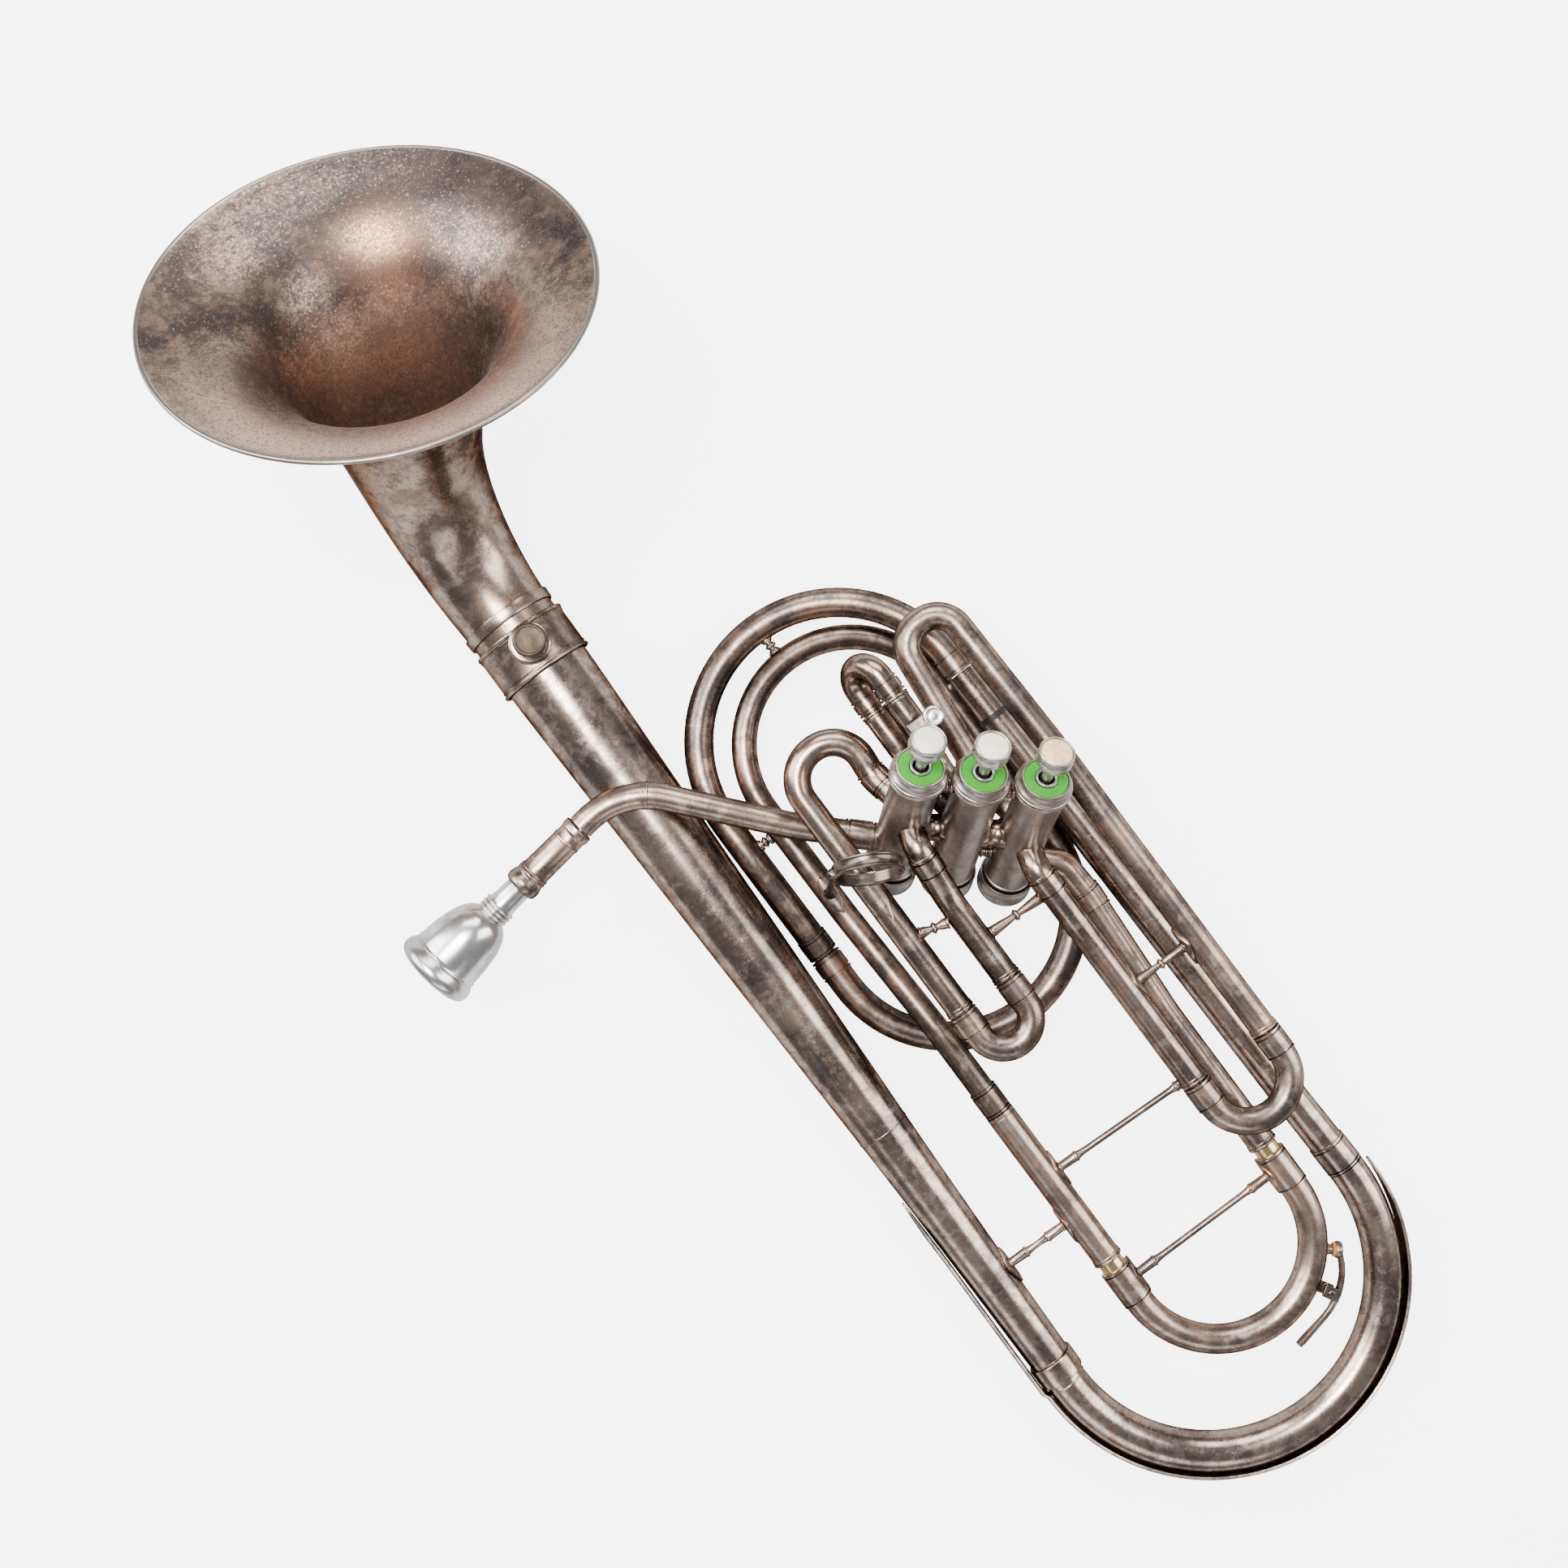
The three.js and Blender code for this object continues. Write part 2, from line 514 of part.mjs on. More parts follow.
function onMouth(profile, sides) {
  const turn = new THREE.Quaternion().setFromUnitVectors(v3(0, 0, 1), MOUTH.way);
  return turned(profile, sides).applyQuaternion(turn).translate(...MOUTH.end.toArray());
}
add('mouthpiece_receiver', onMouth([[5.4, 0], [7.6, 0], [7.6, 4], [7, 4.6], [7.4, 34], [8.6, 36], [8.6, 40],
  [6.9, 40], [6.9, 12], [5.4, 9]], 16), satin);
add('mouthpiece', onMouth([[3, 14], [6.1, 14], [6.5, 41], [6.8, 54], [9.2, 56], [7.4, 60], [9.6, 63],
  [13.5, 72], [16.6, 86], [17.4, 92], [19.6, 93.5], [19.8, 96.5], [18, 98.6], [15.4, 98.4], [13, 96],
  [12.2, 88], [8.5, 76], [3.4, 66]], 18), bright);

// ---------------------------------------------------------------- tuning and valve slides
// A slide: two thin legs, a ferrule on each, and the crook that joins them.
function slideCrook({ left, right, z, crookY, drop, sleeve, r, legR, leg }) {
  const bend = Math.abs(right - left) / 2;
  const points = route([[v3(left, crookY + leg, z), 0],
    ...uBend(left, right, crookY - drop - bend, z, bend - 0.01), [v3(right, crookY + leg, z), 0]]);
  const total = lengths(points).at(-1);
  const radii = [[0, legR], [leg - 0.2, legR], [leg, r], [total - leg, r], [total - leg + 0.2, legR]];
  return tube(points, radii, { bands: [[leg, leg + sleeve, 0.8], [-leg - sleeve, -leg, 0.8]], bore: legR - 0.8 });
}

// Outer leg of a slide: it takes the thin leg, and ends in a ring.
const outerLeg = (points, { r, legR }, bands = []) =>
  tube(points, r, { bore: legR + SLIDE_GAP, bands: [...bands, [-4.5, 0, 0.9]] });

// Stay between two tubes, with a ball foot at each end.
function brace(from, to, foot = 3, radius = BRACE_R) {
  return unite(rod(from, to, radius, 8), ball(from, foot), ball(to, foot));
}

// Stay between the sides of two parallel tubes of the given radii.
function stay(from, to, fromR, toR, foot = 3) {
  const way = to.clone().sub(from).normalize();
  return brace(along(from, way, fromR + foot + 2 * GAP), along(to, way, -toR - foot - 2 * GAP), foot);
}

add('tuning_outer_leg_left', outerLeg([v3(TUNING.left, -190.4, TUNING.z),
  v3(TUNING.left, TUNING.legEnd, TUNING.z)], TUNING), tarnished);
add('tuning_outer_leg_right', trimmed(outerLeg(route([[onValve(3, PORT.out), 0],
  [along(onValve(3, PORT.out), ROW, 24), 10], [v3(TUNING.right + 4, -130, TUNING.z), 40],
  [v3(TUNING.right, -200, TUNING.z), 60], [v3(TUNING.right, TUNING.legEnd, TUNING.z), 0]]),
  TUNING, [[44, 50, 0.9]]), 3), tarnished);

// The crook carries a drain nipple on its outer side, a little above the plane of the key.
const crookCentre = v3((TUNING.left + TUNING.right) / 2, TUNING.crookY - TUNING.drop, TUNING.z);
const crookR = (TUNING.right - TUNING.left) / 2;
const atCrook = (degrees, reach) => crookCentre.clone().add(
  v3(reach, 0, 0).applyAxisAngle(v3(0, 0, 1), THREE.MathUtils.degToRad(degrees)));
const nipple = rod(atCrook(KEY.nipple, crookR + 5.5), atCrook(KEY.nipple, crookR + TUNING.r + 2), 2.4, 10);
const drain = rod(atCrook(KEY.nipple, crookR), atCrook(KEY.nipple, crookR + TUNING.r + 5), 1, 8);
add('main_tuning_slide', subtract(unite(slideCrook(TUNING), nipple), drain), tarnished);
add('tuning_slide_brace', stay(v3(TUNING.left, TUNING.crookY - 5, TUNING.z),
  v3(TUNING.right, TUNING.crookY - 5, TUNING.z), TUNING.r + 0.8, TUNING.r + 0.8), satin);

add('first_slide_outer_right', trimmed(outerLeg(route([[onValve(1, PORT.first[0]), 0],
  [along(onValve(1, PORT.first[0]), FRONT_LEFT, 19), 10], [v3(FIRST.right, -90, FIRST.z), 40],
  [v3(FIRST.right, FIRST.legEnd, FIRST.z), 0]]), FIRST, [[27, 31, 0.8]]), 1), tarnished);
const backOfFirst = along(onValve(1, PORT.first[1]), BACK, 24);
add('first_slide_outer_left', trimmed(outerLeg(route([[onValve(1, PORT.first[1]), 0], [backOfFirst, 20],
  [v3(FIRST.topRight, FIRST.topY, FIRST.z), FIRST.topIn], [v3(FIRST.topLeft, FIRST.topY, FIRST.z), FIRST.topOut],
  [v3(FIRST.left, -50, FIRST.z), 60], [v3(FIRST.left, FIRST.legEnd, FIRST.z), 0]]), FIRST, [[17, 21, 0.8]]), 1),
  tarnished);
add('first_slide', slideCrook(FIRST), tarnished);

function secondLeg(port, x, z) {
  const start = onValve(2, port);
  return trimmed(outerLeg(route([[start, 0], [along(start, BACK, 20), 20], [v3(x, -22, z), 40],
    [v3(x, SECOND.legEnd, z), 0]]), SECOND), 2);
}
add('second_slide_outer_upper', secondLeg(PORT.second[1], SECOND.upperX, SECOND.upperZ), tarnished);
add('second_slide_outer_lower', secondLeg(PORT.second[0], SECOND.lowerX, SECOND.lowerZ), tarnished);

function secondSlide() {
  const { upperX, lowerX, upperZ, lowerZ, crookY, drop, reach, sleeve, r, legR } = SECOND;
  const bend = Math.hypot(upperX - lowerX, upperZ - lowerZ) / 2;
  const [start, end] = [crookY - reach, crookY + drop + bend];
  const points = route([[v3(upperX, start, upperZ), 0], [v3(upperX, end, upperZ), bend - 0.01],
    [v3(lowerX, end, lowerZ), bend - 0.01], [v3(lowerX, start, lowerZ), 0]]);
  const total = lengths(points).at(-1);
  const radii = [[0, legR], [reach - 0.2, legR], [reach, r], [total - reach, r], [total - reach + 0.2, legR]];
  return tube(points, radii, { bands: [[reach, reach + sleeve, 0.7], [-reach - sleeve, -reach, 0.7]], bore: legR - 0.8 });
}
add('second_slide', secondSlide(), tarnished);

add('third_slide_outer_left', trimmed(outerLeg(route([[onValve(3, PORT.third[0]), 0],
  [along(onValve(3, PORT.third[0]), FRONT_LEFT, 19), 10], [v3(THIRD.left, -140, THIRD.z), 60],
  [v3(THIRD.left, THIRD.legEnd, THIRD.z), 0]]), THIRD, [[27, 31, 0.8]]), 3), tarnished);
const backOfThird = along(onValve(3, PORT.third[1]), BACK, 26);
const thirdTop = (THIRD.topRight - THIRD.topLeft) / 2 - 0.3;
add('third_slide_outer_right', trimmed(outerLeg(route([[onValve(3, PORT.third[1]), 0], [backOfThird, 20],
  [v3(THIRD.topLeft, THIRD.topY, THIRD.z), thirdTop], [v3(THIRD.topRight, THIRD.topY, THIRD.z), thirdTop],
  [v3(THIRD.right, -60, THIRD.z), 60], [v3(THIRD.right, THIRD.legEnd, THIRD.z), 0]]), THIRD, [[40, 44, 0.8]]), 3),
  tarnished);
add('third_slide', slideCrook(THIRD), tarnished);

// ---------------------------------------------------------------- water key
const keyPivot = atCrook(KEY.pivot, KEY.reach);

// Lever in the plane of the crook: cork cup on the nipple, barrel on the pin, ball at the thumb end.
function waterKey() {
  const cupPlace = atCrook(KEY.nipple, crookR + TUNING.r + 5.2);
  const seat = atCrook(KEY.nipple, crookR + TUNING.r + 2.4);
  const thumb = atCrook(KEY.thumb, KEY.reach + 3.4);
  const up = v3(0, 0, 1);
  const lever = unite(rod(cupPlace, keyPivot, 1.5, 8), rod(keyPivot, thumb, 1.5, 8), ball(thumb, 2.4),
    rod(along(keyPivot, up, -3), along(keyPivot, up, 3), 2.7, 12), rod(cupPlace, seat, 3.9, 12));
  return subtract(lever, rod(along(keyPivot, up, -9), along(keyPivot, up, 9), 1.5, 10));
}
add('water_key', waterKey(), tarnished);

// Two ears on the crook, joined by the pin that runs through the key's barrel.
function waterKeySaddle() {
  const ear = (side) => {
    const plate = new THREE.BoxGeometry(6.4, 6, 1.4).rotateZ(THREE.MathUtils.degToRad(KEY.pivot));
    const place = atCrook(KEY.pivot, KEY.reach - 0.4);
    return closed(plate.translate(place.x, place.y, place.z + side * 4.2));
  };
  const pin = rod(along(keyPivot, v3(0, 0, 1), -5.8), along(keyPivot, v3(0, 0, 1), 5.8), 1, 10);
  return unite(pin, ear(1), ear(-1));
}
add('water_key_saddle', waterKeySaddle(), tarnished);

// ---------------------------------------------------------------- hand ring, lyre socket, stays
function handRing() {
  const { centre, r, width, wall, way, side, foot } = RING;
  const band = turned([[r - wall, -width / 2], [r, -width / 2], [r, width / 2], [r - wall, width / 2]], 22);
  band.applyQuaternion(new THREE.Quaternion().setFromUnitVectors(v3(0, 0, 1), way));
  band.translate(centre.x, centre.y, centre.z);
  return unite(band, rod(foot, along(centre, side, r - 0.6), 2, 8), ball(foot, 3));
}
add('hand_ring', handRing(), satin);

// Lyre socket on the second slide's upper leg, with a disc-headed screw beside its hole.
const lyre = v3(67, -15.5, SECOND.upperZ + SECOND.r + 4.2);
const screwPlace = lyre.clone().add(v3(4.6, 0, 0));
const block = (x, y, z, place) => closed(new THREE.BoxGeometry(x, y, z).translate(...place.toArray()));
add('lyre_socket', subtract(block(15, 8, 7, lyre), block(5, 20, 4.4, lyre.clone().add(v3(-3.2, 0, 0))),
  rod(screwPlace, along(screwPlace, v3(0, 0, 1), 9), 1.8, 10)), satin);
add('lyre_screw', thumbscrew(along(screwPlace, v3(0, 0, 1), 0.6), v3(0, 0, 1), 3.3, 4.8, 1.4), bright);

add('stem_brace', stay(v3(STEM.foot + 0.5, -255, 15), v3(TUNING.left, -254, TUNING.z - 3), 12, TUNING.r), satin);
add('tuning_leg_brace', stay(v3(TUNING.left, -229, TUNING.z), v3(TUNING.right, -232, TUNING.z),
  TUNING.r, TUNING.r), satin);
add('third_slide_brace', stay(v3(THIRD.left, -174, THIRD.z), v3(THIRD.right - 0.4, -174, THIRD.z),
  THIRD.r, THIRD.r), satin);

// The object stands on its lowest point, with the origin under the middle of its box.
const box = new THREE.Box3().setFromObject(horn);
const middle = box.getCenter(v3(0, 0, 0));
horn.position.set(-middle.x, -middle.y, -box.min.z);

export default horn;
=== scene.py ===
"""Bell-front euphonium on a pale studio floor: fine meshes and aged silver plate on the CAD frame."""
import math

import bmesh
import bpy
import numpy as np
from mathutils import Matrix, Vector


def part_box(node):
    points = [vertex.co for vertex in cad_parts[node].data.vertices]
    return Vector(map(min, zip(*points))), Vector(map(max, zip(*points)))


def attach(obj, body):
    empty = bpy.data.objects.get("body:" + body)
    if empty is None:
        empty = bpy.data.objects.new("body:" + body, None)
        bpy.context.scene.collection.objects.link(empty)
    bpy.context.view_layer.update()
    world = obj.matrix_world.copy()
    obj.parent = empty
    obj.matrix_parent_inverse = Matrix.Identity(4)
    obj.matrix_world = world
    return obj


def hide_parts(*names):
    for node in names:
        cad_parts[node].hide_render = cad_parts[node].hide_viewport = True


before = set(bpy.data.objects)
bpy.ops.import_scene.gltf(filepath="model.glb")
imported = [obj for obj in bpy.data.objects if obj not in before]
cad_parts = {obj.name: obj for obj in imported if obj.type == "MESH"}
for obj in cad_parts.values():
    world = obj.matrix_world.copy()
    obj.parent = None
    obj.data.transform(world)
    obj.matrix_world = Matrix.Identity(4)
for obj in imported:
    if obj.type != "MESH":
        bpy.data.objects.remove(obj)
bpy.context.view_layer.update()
MM = 0.001


def vec(*xyz):
    return np.array(xyz, dtype=float)


def unit(v):
    return np.asarray(v, dtype=float) / np.linalg.norm(v)


# ---------------------------------------------------------------- driving dimensions, in millimetres
STEM_TOP = vec(-59.3, 138, 26)
STEM_FOOT = vec(-64, -319, 12.5)
STEM_R = [(0, 10.4), (65, 11.4), (120, 12.6), (192, 14.9), (430, 22.2), (457, 22.6)]
BELL = dict(y=120, tenon=20.5, r=22.3, rim=98.7, lead=26.8, bend=95, run=86.9, lean=19.7, turn=61.3)
BOW_R = 86.6
BOW_Y, BOW_Z = STEM_FOOT[1:]
RIGHT_X = STEM_FOOT[0] + 2 * BOW_R
COLLAR_FOOT = 112
COLLAR_SCREW = COLLAR_FOOT + 14
OUTER = dict(left=-34.5, right=101.5, top=69, r=7.3, z=17.5, right_z=21.5)
INNER = dict(left=-15, right=91.5, top=48.5, r=6.3, z=17.5, right_z=8.5)
SMALL = dict(y=-161, r=7.4, z=8.8, start=-80)
TUNING = dict(left=-11.5, right=82, z=26, end=-279, crook=-284, drop=20, sleeve=19.5, r=7.2, leg=6.2)
FIRST_TOP_LEFT, FIRST_TOP_RIGHT, FIRST_TOP_Y = 2.8, 38, 5
THIRD_TOP_LEFT, THIRD_TOP_RIGHT, THIRD_TOP_Y = 83.8, 110, 23
FIRST = dict(left=3, right=29.6, z=58.5, end=-135, crook=-135.6, drop=13.9, sleeve=12, r=6.6, leg=5.5)
THIRD = dict(left=71.5, right=112.4, z=53, end=-228, crook=-228.6, drop=12.5, sleeve=13, r=6.6, leg=5.5)
SECOND = dict(upper_x=64.5, lower_x=53.5, upper_z=77, lower_z=60.5, end=2, crook=2.6, drop=10.4, reach=11,
              sleeve=8.5, r=6.1, leg=5)
KEY = dict(nipple=-40, pivot=-60, thumb=-88, reach=59.4)
MOUTH_END = vec(-90, 41, 50.5)
MOUTH_WAY = unit(vec(-0.99, -0.135, -0.03))
RING = dict(centre=vec(7.5, -54, 82.4), r=16.6, width=6.4, wall=1.4, way=unit(vec(-0.45, -0.83, 0.32)),
            side=unit(vec(-0.863, 0.486, 0.043)), foot=vec(-13.5, -55.5, 29.7))
LYRE = vec(67, -15.5, 87.3)

AXIS = unit(vec(0.405, 0.367, 0.838))
ROW = unit(vec(0.767, -0.636, 0) - 0.0773 * AXIS)
VALVE_FOOT = vec(35.7, -85.2, 10.9)
PITCH = 28.7
CASING_R = 11.5
PORT = dict(lead=33, knuckle=47, first=(56, 62), second=(56, 71), third=(48, 58), out=25)
FRONT = unit(vec(0, -1, 0) + AXIS[1] * AXIS)
BACK = -FRONT
FRONT_LEFT = unit(FRONT - 0.5 * ROW)

# The CAD origin is under the middle of the instrument's box; the socket block gives the shift to it.
low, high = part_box("lyre_socket")
SHIFT = (np.array(low) + np.array(high)) / 2 / MM - LYRE
ROOT = "horn_body"


def on_valve(n, height):
    return VALVE_FOOT + (n - 2) * PITCH * ROW + height * AXIS


STEM_WAY = unit(STEM_TOP - STEM_FOOT)


def on_stem(y):
    return STEM_FOOT + (y - STEM_FOOT[1]) / STEM_WAY[1] * STEM_WAY


# ---------------------------------------------------------------- routes
def route(corners, fine=5.0):
    """Straight runs between (point, bend radius) corners, with round bends in steps of `fine` degrees."""
    points = [np.array(corners[0][0], dtype=float)]
    for (before, _), (corner, radius), (after, _) in zip(corners, corners[1:], corners[2:]):
        back, ahead = unit(np.subtract(before, corner)), unit(np.subtract(after, corner))
        half = math.acos(np.clip(back @ ahead, -1, 1)) / 2
        turn = math.pi - 2 * half
        centre = corner + unit(back + ahead) * radius / math.sin(half)
        first = corner + back * radius / math.tan(half) - centre
        side = np.cross(unit(np.cross(back, first)), first)
        steps = max(1, round(math.degrees(turn) / fine))
        for k in range(steps + 1):
            angle = turn * k / steps
            points.append(centre + math.cos(angle) * first + math.sin(angle) * side)
    points.append(np.array(corners[-1][0], dtype=float))
    kept = [points[0]]
    for p in points[1:]:
        gap = np.linalg.norm(p - kept[-1])
        if gap > 9:
            way = (p - kept[-1]) / gap
            kept += [kept[-1] + 3 * way, p - 3 * way]
        if gap > 1e-3:
            kept.append(p)
    return np.array(kept)


def u_bend(xa, xb, y, z, radius=None):
    r = abs(xb - xa) / 2 if radius is None else radius
    return [(vec(xa, y, z), r), (vec(xb, y, z), r)]


def lengths(points):
    return np.concatenate([[0], np.cumsum(np.linalg.norm(np.diff(points, axis=0), axis=1))])


# ---------------------------------------------------------------- shapes: vertices, faces, material index
def flat_ring(a, b, extra):
    """A sleeve with softened edges from a to b."""
    edge = min(0.5, (b - a) / 3)
    rise = [(0, 0), (0.02, 0.5), (0.3 * edge, 0.82), (edge, 1)]
    return [(a + s, extra * h) for s, h in rise] + [(b - s, extra * h) for s, h in reversed(rise)]


def bead(a, b, extra):
    """A half-round ring from a to b; a negative extra makes a groove."""
    return [(a + (b - a) * (1 - math.cos(t)) / 2, extra * math.sin(t)) for t in np.linspace(0, math.pi, 9)]


def line(s):
    """The fine seam where two tubes meet."""
    return bead(s - 0.3, s + 0.3, -0.22)


def sleeve(a, b, rise=0.6):
    """A thin sleeve over a joint, with a fine scribed line inside each end."""
    start = [(0, 0), (0.05, 0.7), (0.2, 1), (1.0, 1), (1.2, -0.4), (1.7, -0.4), (1.9, 1)]
    first = [(a + s, rise * h) for s, h in start]
    return first + [(b - s, rise * h) for s, h in reversed(start)]


FLAT_RINGS = (8, 14)            # points in a flat_ring and in a sleeve, half of them on each side of its flat


def tube(points, radius, rings=(), zones=(), sides=28, recess=8.0, wall=0.9, slot=0):
    """A round tube along points. Rings are (s, extra) lists; zones are (start, end, material index)."""
    sums = lengths(points)
    total = sums[-1]
    base_s, base_r = zip(*([(0, radius)] if np.isscalar(radius) else radius))
    rings = [[(s + (total if ring[0][0] < 0 else 0), e) for s, e in ring] for ring in rings]
    spans = [(ring[0][0], ring[-1][0]) for ring in rings]
    open_s = [*sums, *(s for s in base_s if 0 < s < total)]
    stops = [(s, 0.0) for s in open_s if not any(a - 0.05 < s < b + 0.05 for a, b in spans)]
    for ring in rings:
        stops += [(min(max(s, 0), total), e) for s, e in ring]
        if len(ring) in FLAT_RINGS:
            half, top = len(ring) // 2, max(e for _, e in ring)
            stops += [(s, top) for s in sums if ring[half - 1][0] + 0.05 < s < ring[half][0] - 0.05]
    stops.sort(key=lambda item: item[0])
    seen = []
    for s, e in stops:
        if not seen or abs(s - seen[-1][0]) >= 1e-6 or abs(e - seen[-1][1]) >= 1e-6:
            seen.append((s, e))
    s = np.array([item[0] for item in seen])
    r = np.interp(s, base_s, base_r) + np.array([item[1] for item in seen])
    centres = np.column_stack([np.interp(s, sums, points[:, k]) for k in range(3)])
    steps = np.diff(points, axis=0) / np.diff(sums)[:, None]
    nodes = np.vstack([steps[:1], (steps[:-1] + steps[1:]) / 2, steps[-1:]])
    tangents = np.column_stack([np.interp(s, sums, nodes[:, k]) for k in range(3)])
    slots = np.full(len(s) - 1, slot)
    for a, b, index in zones:
        a, b = (total + a if a < 0 else a), (total + b if b <= 0 else b)
        middle = (s[1:] + s[:-1]) / 2
        slots[(middle > a) & (middle < b)] = index
    if recess:
        centres = np.vstack([centres[:1] + tangents[0] * recess, centres[:1], centres, centres[-1:],
                             centres[-1:] - tangents[-1] * recess])
        tangents = np.vstack([tangents[:1], tangents[:1], tangents, tangents[-1:], tangents[-1:]])
        r = np.concatenate([[r[0] - wall] * 2, r, [r[-1] - wall] * 2])
        slots = np.concatenate([[slots[0]] * 2, slots, [slots[-1]] * 2])
    verts, faces, index = sweep(centres, tangents, r, slots, sides)
    return verts, faces + end_faces(len(r), sides), index + [int(slots[0]), int(slots[-1])]


def faces_of_row(i, j, sides):
    return [(i * sides + k, i * sides + (k + 1) % sides, j * sides + (k + 1) % sides, j * sides + k)
            for k in range(sides)]


def end_faces(count, sides):
    return [tuple(reversed(range(sides))), tuple(range((count - 1) * sides, count * sides))]


def loft(verts, sides, slot=0):
    """Rows of `sides` points, joined in order and closed at both ends."""
    count = len(verts) // sides
    faces = [face for i in range(count - 1) for face in faces_of_row(i, i + 1, sides)]
    faces += end_faces(count, sides)
    return np.array(verts), faces, [slot] * len(faces)


def sweep(centres, tangents, radii, slots, sides):
    """Circles along a line, joined in order and open at both ends."""
    side = np.cross([0, 0, 1], tangents[0])
    if np.linalg.norm(side) < 0.1:
        side = np.cross([1, 0, 0], tangents[0])
    angles = 2 * math.pi * np.arange(sides) / sides
    rows = []
    for centre, tangent, r in zip(centres, tangents, radii):
        tangent = unit(tangent)
        side = unit(side - (side @ tangent) * tangent)
        up = np.cross(tangent, side)
        rows.append(centre + r * (np.outer(np.cos(angles), side) + np.outer(np.sin(angles), up)))
    bands = range(len(rows) - 1)
    faces = [face for i in bands for face in faces_of_row(i, i + 1, sides)]
    return np.vstack(rows), faces, [int(slots[i]) for i in bands for _ in range(sides)]


def basis(way, across=(0, 0, 1)):
    z = unit(way)
    x = np.cross(across, z)
    if np.linalg.norm(x) < 0.05:
        x = np.cross((1, 0, 0), z)
    x = unit(x)
    return np.column_stack([x, np.cross(z, x), z])


VALVE_FRAME = np.column_stack([ROW, np.cross(AXIS, ROW), AXIS])


def soften(profile, size=0.3):
    """Cuts each corner of a closed profile, so that the turned edges catch the light."""
    points = [vec(*p[:2]) for p in profile]
    slots = [p[2] if len(p) > 2 else 0 for p in profile]
    result = []
    for i, p in enumerate(points):
        before, after = points[i - 1] - p, points[(i + 1) % len(points)] - p
        la, lb = np.linalg.norm(before), np.linalg.norm(after)
        if p[0] < 1e-6 or min(la, lb) < 1e-6:
            result.append((*p, slots[i]))
            continue
        cut = min(size, 0.35 * la, 0.35 * lb)
        a, b = p + before / la * cut, p + after / lb * cut
        middle = (a + b) / 4 + p / 2
        result += [(*a, slots[i - 1]), (*middle, slots[i]), (*b, slots[i])]
    return result


def turned(profile, base, frame_axes, sides=48, knurl=None, soft=0.3):
    """A piece turned about its axis from a closed profile of (radius, height[, material index])."""
    rows = soften(profile, soft) if soft else [(*p[:2], p[2] if len(p) > 2 else 0) for p in profile]
    angles = 2 * math.pi * np.arange(sides) / sides
    verts, starts = [], []
    for r, z, _ in rows:
        starts.append(len(verts))
        if r < 1e-6:
            verts.append((0, 0, z))
            continue
        for k, t in enumerate(angles):
            radius = r
            if knurl and knurl[0] < z < knurl[1] and r > knurl[2]:
                radius -= knurl[3] * (k % 2)
            verts.append((radius * math.cos(t), radius * math.sin(t), z))
    faces, index = [], []
    for i in range(len(rows)):
        j = (i + 1) % len(rows)
        a, b = starts[i], starts[j]
        pole_a, pole_b = rows[i][0] < 1e-6, rows[j][0] < 1e-6
        if pole_a and pole_b:
            continue
        for k in range(sides):
            m = (k + 1) % sides
            faces.append(((a,) if pole_a else (a + k, a + m)) + ((b,) if pole_b else (b + m, b + k)))
            index.append(rows[i][2])
    return np.array(verts) @ frame_axes.T + base, faces, index


def recoloured(shape, slot=1):
    return shape[0], shape[1], [slot] * len(shape[2])


def block(centre, size, axes, slot=0):
    """A box with cut corners, as a plate of stock."""
    half = np.array(size) / 2
    cut = min(half) * 0.18
    verts = []
    for z, inset in ((-half[2], cut), (-half[2] + cut, 0), (half[2] - cut, 0), (half[2], cut)):
        x, y = half[0] - inset, half[1] - inset
        verts += [(x - cut, -y, z), (x, -y + cut, z), (x, y - cut, z), (x - cut, y, z), (-x + cut, y, z),
                  (-x, y - cut, z), (-x, -y + cut, z), (-x + cut, -y, z)]
    return loft(np.array(verts) @ axes.T + centre, 8, slot)


# ---------------------------------------------------------------- pieces
def piece(name, shapes, materials, node=None, body=ROOT, slot="tarnished_silver", angle=32):
    verts, faces, index = [], [], []
    offset = 0
    for shape in shapes:
        verts.append(shape[0])
        faces += [tuple(i + offset for i in face) for face in shape[1]]
        index += shape[2]
        offset += len(shape[0])
    mesh = bpy.data.meshes.new(name)
    mesh.from_pydata(((np.vstack(verts) + SHIFT) * MM).tolist(), [], faces)
    for material in materials:
        mesh.materials.append(material)
    mesh.polygons.foreach_set("material_index", index)
    mesh.polygons.foreach_set("use_smooth", [True] * len(index))
    outward(mesh)
    mesh.set_sharp_from_angle(angle=math.radians(angle))
    obj = bpy.data.objects.new(name, mesh)
    bpy.context.scene.collection.objects.link(obj)
    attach(obj, body)
    if node:
        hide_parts(*([node] if isinstance(node, str) else node))
    return obj


def outward(mesh):
    """Makes the faces of every closed shell in the mesh point out."""
    bm = bmesh.new()
    bm.from_mesh(mesh)
    bmesh.ops.recalc_face_normals(bm, faces=bm.faces)
    bm.to_mesh(mesh)
    bm.free()


